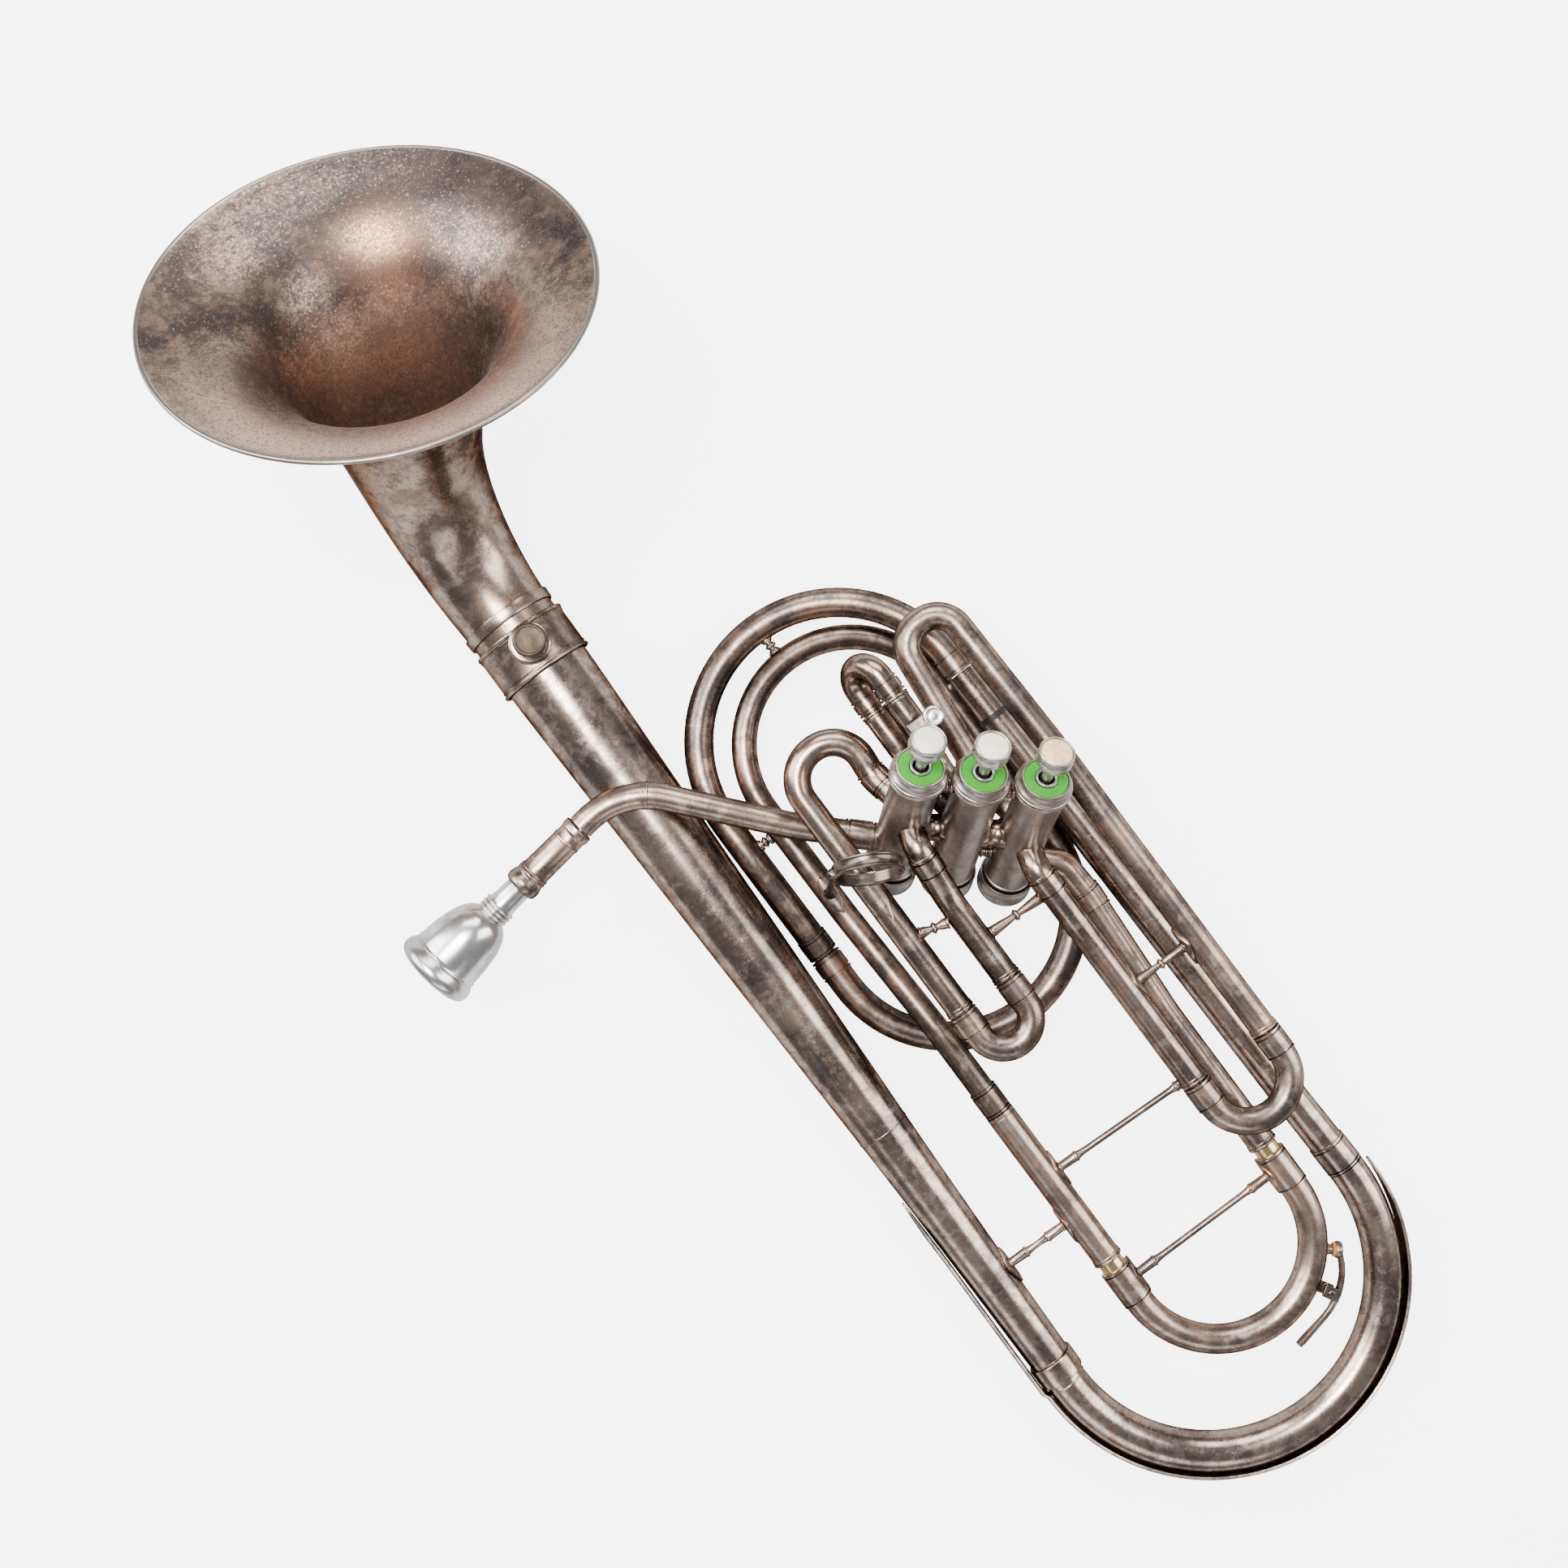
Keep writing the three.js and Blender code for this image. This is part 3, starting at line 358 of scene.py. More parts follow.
# ---------------------------------------------------------------- materials
class Paint:
    """A material in the making: its node tree and its shader."""

    def __init__(self, name):
        self.material = bpy.data.materials.new(name)
        self.material.use_nodes = True
        self.tree = self.material.node_tree
        self.tree.nodes.clear()
        out = self.tree.nodes.new("ShaderNodeOutputMaterial")
        self.shader = self.tree.nodes.new("ShaderNodeBsdfPrincipled")
        self.tree.links.new(self.shader.outputs[0], out.inputs[0])

    def feed(self, sockets, values):
        for socket, value in zip(sockets, values):
            if isinstance(value, Field):
                self.tree.links.new(value.socket, socket)
            elif isinstance(value, tuple) and len(socket.default_value) == 4:
                socket.default_value = (*value, 1)
            else:
                socket.default_value = value

    def node(self, kind, *values, **settings):
        """A node with values in its first sockets; a setting by name may be one of its sockets too."""
        made = self.tree.nodes.new(kind)
        for key, value in settings.items():
            if key in made.inputs:
                made.inputs[key].default_value = value
            else:
                setattr(made, key, value)
        self.feed(made.inputs, values)
        return made

    def field(self, output, kind, *values, **settings):
        return Field(self, self.node(kind, *values, **settings).outputs[output])

    def place(self):
        return self.field("Object", "ShaderNodeTexCoord")

    def maths(self, operation, one, two, clamp=True):
        return self.field(0, "ShaderNodeMath", one, two, operation=operation, use_clamp=clamp)

    def mix(self, share, one, two):
        made = self.node("ShaderNodeMix", data_type="RGBA")
        self.feed((made.inputs[0], *made.inputs[6:8]), (share, one, two))
        return Field(self, made.outputs[2])

    def noise(self, scale, detail, rough, distortion=0.0, seed=0.0):
        """Noise in the object's own space: the scale is in cells per metre."""
        move = self.field(0, "ShaderNodeMapping", self.place(), Location=(seed, seed * 0.37, -seed * 0.61))
        return self.field("Fac", "ShaderNodeTexNoise", move, Scale=scale, Detail=detail, Roughness=rough,
                          Distortion=distortion)

    def crevice(self, reach, dark, clear):
        """Painted shade mask: 1 in corners and under rings, where the ambient occlusion finds shade, 0 on
        open surfaces.
        """
        shade = self.field("AO", "ShaderNodeAmbientOcclusion", samples=6, Distance=reach * MM)
        return shade.ramp((dark, 1), (clear, 0))

    def near_to(self, centre, inner, outer):
        """1 within the inner distance of a place on the object, fading to 0 at the outer distance."""
        middle = tuple((centre + SHIFT) * MM)
        gap = self.field("Value", "ShaderNodeVectorMath", self.place(), middle, operation="DISTANCE")
        return self.field(0, "ShaderNodeMapRange", gap, inner * MM, outer * MM, 1.0, 0.0)

    def finish(self, relief=None, **sockets):
        """Feeds the shader's sockets, and its relief: a height, a strength and a distance in metres."""
        inputs = self.shader.inputs
        for key, value in sockets.items():
            self.feed([inputs[key.replace("_", " ")]], [value])
        if relief:
            height, strength, distance = relief
            bumps = self.node("ShaderNodeBump", Strength=strength, Distance=distance)
            self.feed([bumps.inputs["Height"], inputs["Normal"]], [height, Field(self, bumps.outputs[0])])
        return self.material


class Field:
    """A number or colour that varies over the surface; arithmetic on it adds nodes to its material."""

    def __init__(self, paint, socket):
        self.paint, self.socket = paint, socket

    def __mul__(self, other):
        return self.paint.maths("MULTIPLY", self, other)

    def __add__(self, other):
        return self.paint.maths("ADD", self, other)

    def __rsub__(self, other):
        return self.paint.maths("SUBTRACT", other, self)

    def ramp(self, *stops):
        """A number or colour for each place along the field."""
        made = self.paint.node("ShaderNodeValToRGB", self)
        elements = made.color_ramp.elements
        while len(elements) < len(stops):
            elements.new(0.5)
        for element, (place, colour) in zip(elements, stops):
            element.position = place
            element.color = (*colour, 1) if isinstance(colour, tuple) else (colour, colour, colour, 1)
        return Field(self.paint, made.outputs[0])

    def over(self, base, colour):
        """The base with the colour on it where this field is 1."""
        return self.paint.mix(self, base, colour)


def darker(colour, share):
    return tuple(c * share for c in colour)


def aged_plate(name, seed, level, copper, gloss, stains=0.6, speckle=0.5, grain=1.0, patches=()):
    """Silver plate gone brown and blue-grey in patches, with fine coppery specks where it is worn; painted
    shade darkens its crevices, and given patches paint light and shade on it.
    """
    paint = Paint(name)
    broad = paint.noise(20 * grain, 4, 0.6, 0.25, seed)
    blotch = paint.noise(115 * grain, 8, 0.72, 0.2, seed + 3)
    fine = paint.noise(820, 6, 0.72, 0.3, seed + 7)
    tones = [(0.30, (0.085, 0.095, 0.11)), (0.40, (0.17, 0.145, 0.13)), (0.47, (0.28, 0.205, 0.165)),
             (0.54, (0.46, 0.395, 0.35)), (0.61, (0.29, 0.21, 0.165)), (0.72, (0.16, 0.10, 0.075))]
    base = paint.mix(0.55, broad, blotch).ramp(*((place, darker(tone, level)) for place, tone in tones))
    worn = blotch.ramp((0.44, 0), (0.60, 1)) * broad.ramp((0.42, 0), (0.58, 1))
    base = (worn * copper).over(base, (0.50, 0.30, 0.20))
    stain = paint.noise(34, 7, 0.75, 0.3, seed + 13).ramp((0.52, 0), (0.60, 1))
    base = (stain * stains).over(base, (0.095, 0.085, 0.09))
    # painted light and shade: each patch lays its colour round a given place, for the pools of light,
    # reflections and shade listed with the material
    for place, inner, outer, share, colour in patches:
        base = (paint.near_to(place, inner, outer) * share).over(base, colour)
    speck_from = 0.25 + 0.09 * grain
    specks = fine.ramp((speck_from, 1), (speck_from + 0.1, 0))
    base = (specks * (speckle * 0.6)).over(base, (0.075, 0.055, 0.05))
    base = (fine.ramp((0.56, 0), (0.68, 1)) * speckle).over(base, (0.66, 0.43, 0.31))
    # painted shade: near-black in corners and under rings, where the ambient occlusion finds shade
    base = (paint.crevice(3, 0.1, 0.6) * 0.5).over(base, (0.03, 0.02, 0.016))
    rough = blotch.ramp((0.32, gloss + 0.14), (0.5, gloss), (0.68, gloss + 0.1)) + specks * 0.15
    return paint.finish((paint.mix(0.35, blotch, fine), 0.06, 0.0004), Base_Color=base, Roughness=rough,
                        Metallic=1.0, Specular_Tint=(0.15, 0.12, 0.11))


def smooth_metal(name, colour, other, gloss, seed, crevice_shade_share=0.6):
    """Polished or satin metal with faint stains and fine scratches, and painted shade in its crevices."""
    paint = Paint(name)
    cloud = paint.noise(60, 5, 0.6, 0.3, seed)
    fine = paint.noise(700, 4, 0.6, 0.0, seed + 5)
    specks = fine.ramp((0.30, 1), (0.42, 0)) * 0.4
    base = specks.over(cloud.ramp((0.35, other), (0.58, colour)), darker(other, 0.4))
    # painted shade: darker in corners and under rings, where the ambient occlusion finds shade
    base = (paint.crevice(5, 0.2, 0.75) * crevice_shade_share).over(base, darker(other, 0.16))
    return paint.finish((paint.mix(0.5, cloud, fine), 0.05, 0.0003), Base_Color=base, Metallic=1.0,
                        Roughness=cloud.ramp((0.3, gloss + 0.12), (0.65, gloss)))


def engraved(name):
    """Satin casing with a worn generic engraving: warped rings and petals, here and there, and painted shade
    in its crevices.
    """
    paint = Paint(name)
    cloud = paint.noise(70, 5, 0.65, 0.4, 2)
    uneven = paint.noise(90, 3, 0.5, 0, 11)
    warp = paint.field(0, "ShaderNodeVectorMath", uneven, operation="SCALE", Scale=0.006)
    shifted = paint.field(0, "ShaderNodeVectorMath", paint.place(), warp, operation="ADD")
    cells = paint.field("Distance", "ShaderNodeTexVoronoi", shifted, feature="F1", Scale=170)
    rings = paint.maths("FRACT", paint.maths("MULTIPLY", cells, 3.2, False), 0, False)
    lines = rings.ramp((0.40, 1), (0.47, 0), (0.53, 0), (0.60, 1))
    area = paint.noise(48, 2, 0.5, 0.4, 9).ramp((0.44, 0), (0.52, 1))
    cut = (1.0 - lines) * area
    base = cloud.ramp((0.32, (0.14, 0.12, 0.11)), (0.48, (0.36, 0.32, 0.29)), (0.62, (0.55, 0.50, 0.47)))
    base = (cut * 0.75).over(base, (0.035, 0.028, 0.025))
    # painted shade: near-black in corners and under rings, where the ambient occlusion finds shade
    base = (paint.crevice(6, 0.2, 0.75) * 0.6).over(base, (0.03, 0.025, 0.02))
    return paint.finish((1.0 - cut, 0.35, 0.0003), Base_Color=base, Metallic=1.0,
                        Roughness=cloud.ramp((0.3, 0.42), (0.6, 0.3)))


def clouded(name, cloud, colours, rough, relief, **sockets):
    """A surface with one cloud (its noise values) in its colours, its roughness and its relief."""
    paint = Paint(name)
    cloud = paint.noise(*cloud)
    return paint.finish((cloud, *relief), Base_Color=cloud.ramp(*colours), Roughness=cloud.ramp(*rough),
                        **sockets)


def pearl(name, deep, pale):
    """Mother of pearl: pale clouds with a soft clear surface."""
    between = tuple(0.6 * a + 0.4 * b for a, b in zip(deep, pale))
    return clouded(name, (110, 4, 0.55, 1.2, 6), [(0.32, deep), (0.5, pale), (0.66, between)],
                   [(0.3, 0.2), (0.7, 0.12)], (0.03, 0.0002), Coat_Weight=0.6, Coat_Roughness=0.05,
                   Subsurface_Weight=0.15, Subsurface_Radius=(0.004, 0.003, 0.002), Subsurface_Scale=0.3)


PLATE = aged_plate("tarnished_plate", 0.0, 0.88, 0.8, 0.26)
LOOPS = aged_plate("loop_plate", 7.0, 0.5, 0.8, 0.28)
BODY = aged_plate("body_plate", 5.0, 1.15, 0.45, 0.2, 0.65)
COPPERY = aged_plate("coppery_plate", 9.0, 0.85, 0.95, 0.2, 0.3, 0.7)
BELL_OUT = aged_plate("bell_outside", 14.0, 0.95, 0.6, 0.22, 0.5, 0.6)
RIM = smooth_metal("bell_rim", (0.40, 0.35, 0.31), (0.26, 0.22, 0.19), 0.26, 3)
SATIN = smooth_metal("satin_silver", (0.58, 0.54, 0.50), (0.36, 0.31, 0.27), 0.28, 1, 0.3)
CAP = smooth_metal("cap_silver", (0.56, 0.50, 0.46), (0.30, 0.24, 0.20), 0.24, 2, 0.4)
BRIGHT = smooth_metal("bright_silver", (0.80, 0.785, 0.76), (0.40, 0.375, 0.35), 0.2, 4, 0.5)
LEG = smooth_metal("bare_leg", (0.78, 0.60, 0.32), (0.55, 0.38, 0.18), 0.18, 6)
CASING = smooth_metal("casing_silver", (0.50, 0.455, 0.42), (0.30, 0.25, 0.22), 0.27, 15, 0.5)
RING_PLATE = smooth_metal("ring_plate", (0.14, 0.115, 0.10), (0.075, 0.058, 0.048), 0.24, 17, 0.4)
SCREW = smooth_metal("screw_head", (0.085, 0.062, 0.045), (0.04, 0.028, 0.02), 0.46, 12)
STEEL = smooth_metal("spring_steel", (0.42, 0.42, 0.43), (0.25, 0.25, 0.26), 0.28, 8)
ENGRAVED = engraved("engraved_casing")
FELT = clouded("green_felt", (1500, 8, 0.75, 0.3, 4),
               [(0.3, (0.01, 0.14, 0.003)), (0.52, (0.035, 0.34, 0.008)), (0.7, (0.07, 0.45, 0.02))],
               [(0.3, 1.0), (0.7, 0.85)], (0.8, 0.0006), Sheen_Weight=0.1)
PEARL = pearl("white_pearl", (0.80, 0.66, 0.46), (0.95, 0.86, 0.70))
AMBER = pearl("amber_pearl", (0.66, 0.42, 0.18), (0.88, 0.66, 0.38))
CORK = clouded("cork", (900, 6, 0.7, 0.6, 8), [(0.34, (0.12, 0.035, 0.008)), (0.6, (0.55, 0.20, 0.045))],
               [(0.3, 0.9), (0.7, 0.75)], (0.5, 0.0004))
# Near-black solder; also the painted shade of the lyre socket's hole.
SOLDER_AND_HOLE_SHADE = clouded("old_solder_and_hole_shade", (300, 6, 0.7, 0.5, 1),
                 [(0.35, (0.004, 0.004, 0.005)), (0.7, (0.05, 0.045, 0.04))],
                 [(0.3, 0.35), (0.7, 0.6)], (0.3, 0.0004), Metallic=0.6)


# ---------------------------------------------------------------- shaping helpers for the pieces
def hollow(points, radius, bore, rings=(), zones=(), sides=28, inside=0):
    """A tube with a real bore: the skin runs along the outside and back along the inside."""
    outer, faces, index = tube(points, radius, rings, zones, sides, recess=0)
    count = len(outer) // sides
    rows = outer.reshape(count, sides, 3)
    middles = rows.mean(axis=1, keepdims=True)
    spokes = rows - middles
    inner = middles + spokes / np.linalg.norm(spokes, axis=2, keepdims=True) * bore
    skin = sides * (count - 1)
    made = faces[:skin]
    made += [face for i in range(count - 1) for face in faces_of_row(count + i + 1, count + i, sides)]
    made += faces_of_row(count, 0, sides) + faces_of_row(count - 1, 2 * count - 1, sides)
    index = index[:skin] + [inside] * skin + [index[0]] * sides + [index[skin - 1]] * sides
    return np.vstack([outer, inner.reshape(-1, 3)]), made, index


def meet(shape, n, way, depth=0.15):
    """Pulls the part of a tube that is inside casing n out to the casing's skin, as a saddle."""
    verts = shape[0]
    way = unit(way)
    across = way - (way @ AXIS) * AXIS
    reach = CASING_R - depth
    offset = verts - on_valve(n, 0)
    flat = offset - np.outer(offset @ AXIS, AXIS)
    a = across @ across
    b = flat @ across
    c = (flat * flat).sum(axis=1) - reach * reach
    inside = c < 0
    step = (-b + np.sqrt(np.maximum(b * b - a * c, 0))) / a
    moved = np.where(inside[:, None], verts + step[:, None] * way, verts)
    return moved, shape[1], shape[2]


def eased(stops, step=12.0, reach=20.0):
    """Rounds off the corners of a (distance, radius) list."""
    s0, r0 = zip(*stops)
    places = np.arange(s0[0], s0[-1] + step, step)
    places[-1] = s0[-1]
    window = np.linspace(-reach, reach, 9)
    values = [np.interp(np.clip(p + window, s0[0], s0[-1]), s0, r0).mean() for p in places]
    return list(zip(places, values))


def spline(points, steps=6):
    """A smooth curve through (radius, height) points."""
    p = [vec(*q[:2]) for q in points]
    p = [2 * p[0] - p[1]] + p + [2 * p[-1] - p[-2]]
    result = []
    for a, b, c, d in zip(p, p[1:], p[2:], p[3:]):
        for t in np.arange(steps) / steps:
            result.append(0.5 * (2 * b + (c - a) * t + (2 * a - 5 * b + 4 * c - d) * t ** 2
                                 + (3 * b - a - 3 * c + d) * t ** 3))
    result.append(p[-2])
    return [tuple(q) for q in result]


def foot_plate(centre, way, normal, tube_r, length, width, thick=0.9, power=1.25, slot=0):
    """A diamond foot wrapped on a tube; centre lies on the tube's middle line."""
    way = unit(way)
    normal = unit(normal - (normal @ way) * way)
    across = np.cross(way, normal)
    rows = [(0.03, 1), (0.3, 1), (0.55, 1), (0.78, 1), (0.92, 0.85), (1, 0.35), (1.0, -0.5)]
    sides = 40
    verts = []
    for scale, h in rows:
        for k in range(sides):
            t = 2 * math.pi * k / sides
            c, s = math.cos(t), math.sin(t)
            grow = (abs(c) ** power + abs(s) ** power) ** (-1 / power) * scale
            turn = width / 2 * grow * s / tube_r
            out = math.cos(turn) * normal + math.sin(turn) * across
            verts.append(centre + way * length / 2 * grow * c + (tube_r + h * thick) * out)
    return loft(verts, sides, slot)


def stay_foot(centre, way, normal, tube_r):
    return foot_plate(centre, way, normal, tube_r, 20.7, 11.5)


def baluster(a, b, thick):
    """A turned stay: thick ends that taper inwards, and a ringed bead in the middle of a short one."""
    length = np.linalg.norm(b - a)
    half = length / 2
    t = thick
    if half > 16:
        side = [(0, 0), (t * 1.25, 0), (t * 1.25, 1.0), (t, 1.5), (t * 1.02, 5), (t * 1.08, 9.5),
                (t * 1.2, 9.9), (t * 1.2, 10.7), (t * 0.95, 11.1), (t * 0.82, 12.5), (t * 0.72, 15),
                (t * 0.7, half)]
    else:
        side = [(0, 0), (t * 1.3, 0), (t * 1.3, 0.7), (t * 1.05, 1.1), (t * 1.12, 1.6)]
        side += [(t * 0.95, half * 0.45), (t * 0.66, half - 1.7), (t * 0.66, half - 1.4),
                 (t * 0.95, half - 1.1), (t * 0.8, half - 0.85), (t * 1.12, half - 0.5), (t * 1.2, half)]
    profile = side + [(r, length - h) for r, h in reversed(side[:-1])]
    return turned(profile, a, basis(b - a), 24, soft=0.1)


UP = vec(0, 0, 1)
RIGHT = vec(1, 0, 0)
AHEAD = vec(0, 1, 0)


# ---------------------------------------------------------------- valves
def on_axis(profile, n, sides, soft, knurl=None):
    return turned(profile, on_valve(n, 0), VALVE_FRAME, sides, knurl, soft)


def casing_shell(n):
    """A plain casing with a low turned ring above its bottom cap."""
    profile = [(10.9, 2.6), (11.5, 2.6), (11.5, 13.2), (11.9, 13.4), (12.05, 14), (11.9, 14.6), (11.5, 14.8),
               (11.5, 86.4), (11.8, 86.6), (11.9, 87.1), (11.8, 87.6), (11.5, 87.8), (11.5, 93), (10.9, 93)]
    return on_axis(profile, n, 72, 0.25)


def bottom_cap(n):
    profile = [(0, 1.2), (1.6, 1.2), (1.8, 0.3), (3.4, 0), (5.2, 0.5), (9.6, 0.5), (11.2, 0), (12.4, 0.3),
               (13.2, 1.3), (13.4, 2.2), (13.0, 2.6), (13.0, 3.0), (13.4, 3.4), (13.4, 5.4), (13.0, 5.8),
               (13.0, 9.9), (13.3, 10.3), (13.4, 11), (13.2, 12), (12.5, 12), (12.5, 2.6), (0, 2.6)]
    return on_axis(profile, n, 132, 0.12, (3.3, 5.5, 13.2, 0.4))


def top_cap(n):
    """A domed cap: fine knurling under its shoulder, and a raised lip round the felt's recess."""
    profile = [(3.6, 94, 1), (12.5, 94), (12.5, 88.2), (12.9, 88.2), (13.2, 88.6), (13.2, 89.2), (12.8, 89.6),
               (12.8, 89.9), (13.3, 90.2), (13.4, 90.6), (13.4, 91.7), (13.3, 92.1), (12.95, 92.3),
               (13.1, 92.7), (13.2, 93.2), (12.95, 93.8), (12.3, 94.5), (11.75, 95.2), (11.45, 96),
               (11.3, 96.8), (11.25, 97.3), (11.0, 97.7), (10.6, 97.75), (10.35, 97.4), (10.3, 96.2),
               (5.1, 96.2), (5.1, 97.7, 1), (4.9, 98.1, 1), (4.4, 98.2, 1), (3.8, 98, 1), (3.6, 97.5, 1)]
    return on_axis(profile, n, 150, 0.1, (90.4, 91.9, 13.25, 0.35))


def felt_ring(n):
    """A felt washer with a soft top."""
    profile = [(5.2, 96.3), (10.25, 96.3), (10.25, 97.1), (9.9, 97.5), (9.0, 97.7), (7.6, 97.8), (6.2, 97.75),
               (5.5, 97.5), (5.2, 97.0)]
    return on_axis(profile, n, 40, 0.15)


def finger_button(n):
    """A deep polished cup with a rolled edge round a domed pearl."""
    cup = [(0, 115.4), (1.8, 115.4), (1.8, 112), (3.2, 111.6), (3.2, 110.2), (4.6, 110.0), (6.4, 110.3),
           (7.7, 111.1), (8.3, 112.2), (8.45, 113.6), (8.4, 115), (8.2, 116.2), (8.3, 117.2), (8.35, 118.1),
           (8.2, 118.9), (7.85, 119.4), (7.5, 119.5), (7.2, 119.2), (7.1, 118.2), (0, 118.2)]
    disc = [(0, 117.2), (7.0, 117.2), (7.0, 118.9), (6.6, 119.2), (5.2, 119.4), (3.4, 119.5), (1.6, 119.55),
            (0, 119.55)]
    return [on_axis(cup, n, 64, 0.12), recoloured(on_axis(disc, n, 56, 0.08))]


def valve_stem(n):
    profile = [(0, 75), (2.6, 75), (2.6, 110.4), (2.3, 110.8), (2.3, 111.6), (1.4, 111.8), (1.4, 115),
               (0, 115)]
    return on_axis(profile, n, 28, 0.1)


for n in (1, 2, 3):
    piece(f"casing_{n}", [casing_shell(n)], [ENGRAVED if n == 1 else CASING], f"valve_casing_{n}",
          slot="satin_silver")
    piece(f"top_cap_{n}", [top_cap(n)], [CAP, BRIGHT], f"valve_top_cap_{n}", slot="satin_silver", angle=40)
    piece(f"bottom_cap_{n}", [bottom_cap(n)], [CASING], f"valve_bottom_cap_{n}")
    piece(f"felt_ring_{n}", [felt_ring(n)], [FELT], f"button_felt_{n}", slot="green_felt", angle=60)
    piece(f"button_{n}", finger_button(n), [BRIGHT, AMBER if n == 3 else PEARL], f"finger_button_{n}",
          f"valve_{n}", "pearl_button", 45)
    piece(f"stem_rod_{n}", [valve_stem(n)], [SATIN], f"valve_stem_{n}", f"valve_{n}", "aged_brass")
    for hidden in (f"valve_piston_{n}", f"valve_spring_{n}"):
        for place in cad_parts[hidden].material_slots:
            place.material = STEEL

for n in (1, 2):
    run = np.linspace(on_valve(n, PORT["knuckle"]), on_valve(n + 1, PORT["knuckle"]), 9)
    waist = [(0, 7.6), (11.4, 7.6), (12.6, 6.7), (PITCH / 2, 6.5), (16.1, 6.7), (17.3, 7.6), (PITCH, 7.6)]
    pipe = meet(meet(tube(run, waist, recess=0, sides=36), n, ROW), n + 1, -ROW)
    piece(f"knuckle_{n}_{n + 1}", [pipe], [COPPERY], f"valve_knuckle_{n}_{n + 1}", slot="satin_silver")


# ---------------------------------------------------------------- conical body
STEM_INSET, STEM_SHORT = 3.6, 26.3      # its skin starts after the foot, ends before the top
stem_length = np.linalg.norm(STEM_TOP - STEM_FOOT) - STEM_SHORT
run = np.linspace(STEM_FOOT + STEM_INSET * STEM_WAY, STEM_FOOT + stem_length * STEM_WAY, 40)
stem_shape = tube(run, eased(STEM_R[:-1] + [(stem_length - STEM_INSET, BELL["r"])]),
                  [flat_ring(0, 11, 1.3), line(11.6), bead(150, 151.2, 0.25)], sides=64)
piece("stem", [stem_shape], [BODY], "stem_branch")

bow_top = BOW_Y + 3
bow_route = route([(vec(STEM_FOOT[0], bow_top, BOW_Z), 0),
                   *u_bend(STEM_FOOT[0], RIGHT_X, BOW_Y - BOW_R, BOW_Z),
                   (vec(RIGHT_X, bow_top, BOW_Z), 0)], 3)
piece("lower_bow", [tube(bow_route, [(0, 10.4), (280, 9.2)], [bead(2, 3.2, 0.3)], sides=44)], [BODY],
      "bottom_bow")


def guard():
    """The wear strip down the stem's outer side and round the bow: a shallow channel with rolled edges."""
    section = [(0.1, -5.2), (1.1, -5.6), (1.7, -5.2), (1.85, -4.4), (1.6, -3.6), (1.85, -1.5), (1.9, 0),
               (1.85, 1.5), (1.6, 3.6), (1.85, 4.4), (1.7, 5.2), (1.1, 5.6), (0.1, 5.2), (0, 0)]
    centre = vec((STEM_FOOT[0] + RIGHT_X) / 2, BOW_Y, BOW_Z)
    stations = []
    for y in np.linspace(-200, -316.4, 40):
        reach = np.interp(-y, (200, 235, 302, 316.4), (13, 12.3, 12.3, 12.2))
        stations.append((on_stem(y), -RIGHT, reach))
    steps = 80
    for angle in math.pi * (1 + np.linspace(0, 1, steps + 1)):
        spoke = vec(math.cos(angle), math.sin(angle), 0)
        stations.append((centre + BOW_R * spoke, spoke, 10.8))
    verts = []
    for i, (place, spoke, reach) in enumerate(stations):
        slim = min(1, 0.3 + 0.7 * min(i, len(stations) - 1 - i) / 6)
        for out, up in section:
            verts.append(place + (reach + out * (0.5 + 0.5 * slim)) * spoke + up * slim * UP)
    return loft(verts, len(section))


piece("wear_strip", [guard()], [PLATE], "bow_guard")

right_top = vec(OUTER["right"], -8, OUTER["right_z"])
right_route = route([(vec(RIGHT_X, bow_top + 0.6, BOW_Z), 0), (vec(RIGHT_X - 1.5, -268, 13.2), 500),
                     (right_top, 0)], 0.3)
piece("right_pipe", [tube(right_route, eased([(0, 8.9), (308, 7.3)]), [sleeve(0.1, 15, 0.6)], sides=36)],
      [BODY], "right_branch")

outer_bend = (OUTER["right"] - OUTER["left"]) / 2 - 0.1
outer_route = route([(right_top + 0.6 * AHEAD, 0),
                     (vec(OUTER["right"], OUTER["top"], OUTER["z"] + 1.5), outer_bend),
                     (vec(OUTER["left"], OUTER["top"], OUTER["z"]), outer_bend),
                     (vec(OUTER["left"], -20, OUTER["z"]), 40),
                     (vec(OUTER["left"], SMALL["start"] + 1.2, SMALL["z"]), 0)], 4)
JOINTS = [sleeve(0.1, 11), sleeve(-11, -0.1)]
piece("outer_pipe", [tube(outer_route, OUTER["r"], JOINTS, sides=32)], [LOOPS], "outer_loop")

small_right = INNER["right"] - 1
small_bend = (small_right - OUTER["left"]) / 2
small_route = route([(vec(OUTER["left"], SMALL["start"] - 0.3, SMALL["z"]), 0),
                     *u_bend(OUTER["left"], small_right, SMALL["y"], SMALL["z"], small_bend - 0.1),
                     (vec(small_right, SMALL["start"], SMALL["z"]), 0)], 4)
piece("small_pipe", [tube(small_route, SMALL["r"], JOINTS, sides=32)], [LOOPS], "small_bow")

inner_bend = (INNER["right"] - INNER["left"]) / 2 - 0.2
inner_route = route([(vec(small_right, SMALL["start"] + 0.3, SMALL["z"]), 0),
                     (vec(INNER["right"], -40, INNER["right_z"]), 40),
                     (vec(INNER["right"], INNER["top"], INNER["right_z"] + 3), inner_bend),
                     (vec(INNER["left"], INNER["top"], INNER["z"]), inner_bend),
                     (vec(INNER["left"] + 1, -70, 20), 60), (vec(TUNING["left"], -140, TUNING["z"]), 60),
                     (vec(TUNING["left"], -190, TUNING["z"]), 0)], 4)
piece("inner_pipe", [tube(inner_route, INNER["r"], [sleeve(-14, -0.1, 0.8)], sides=30)], [LOOPS],
      "inner_loop")


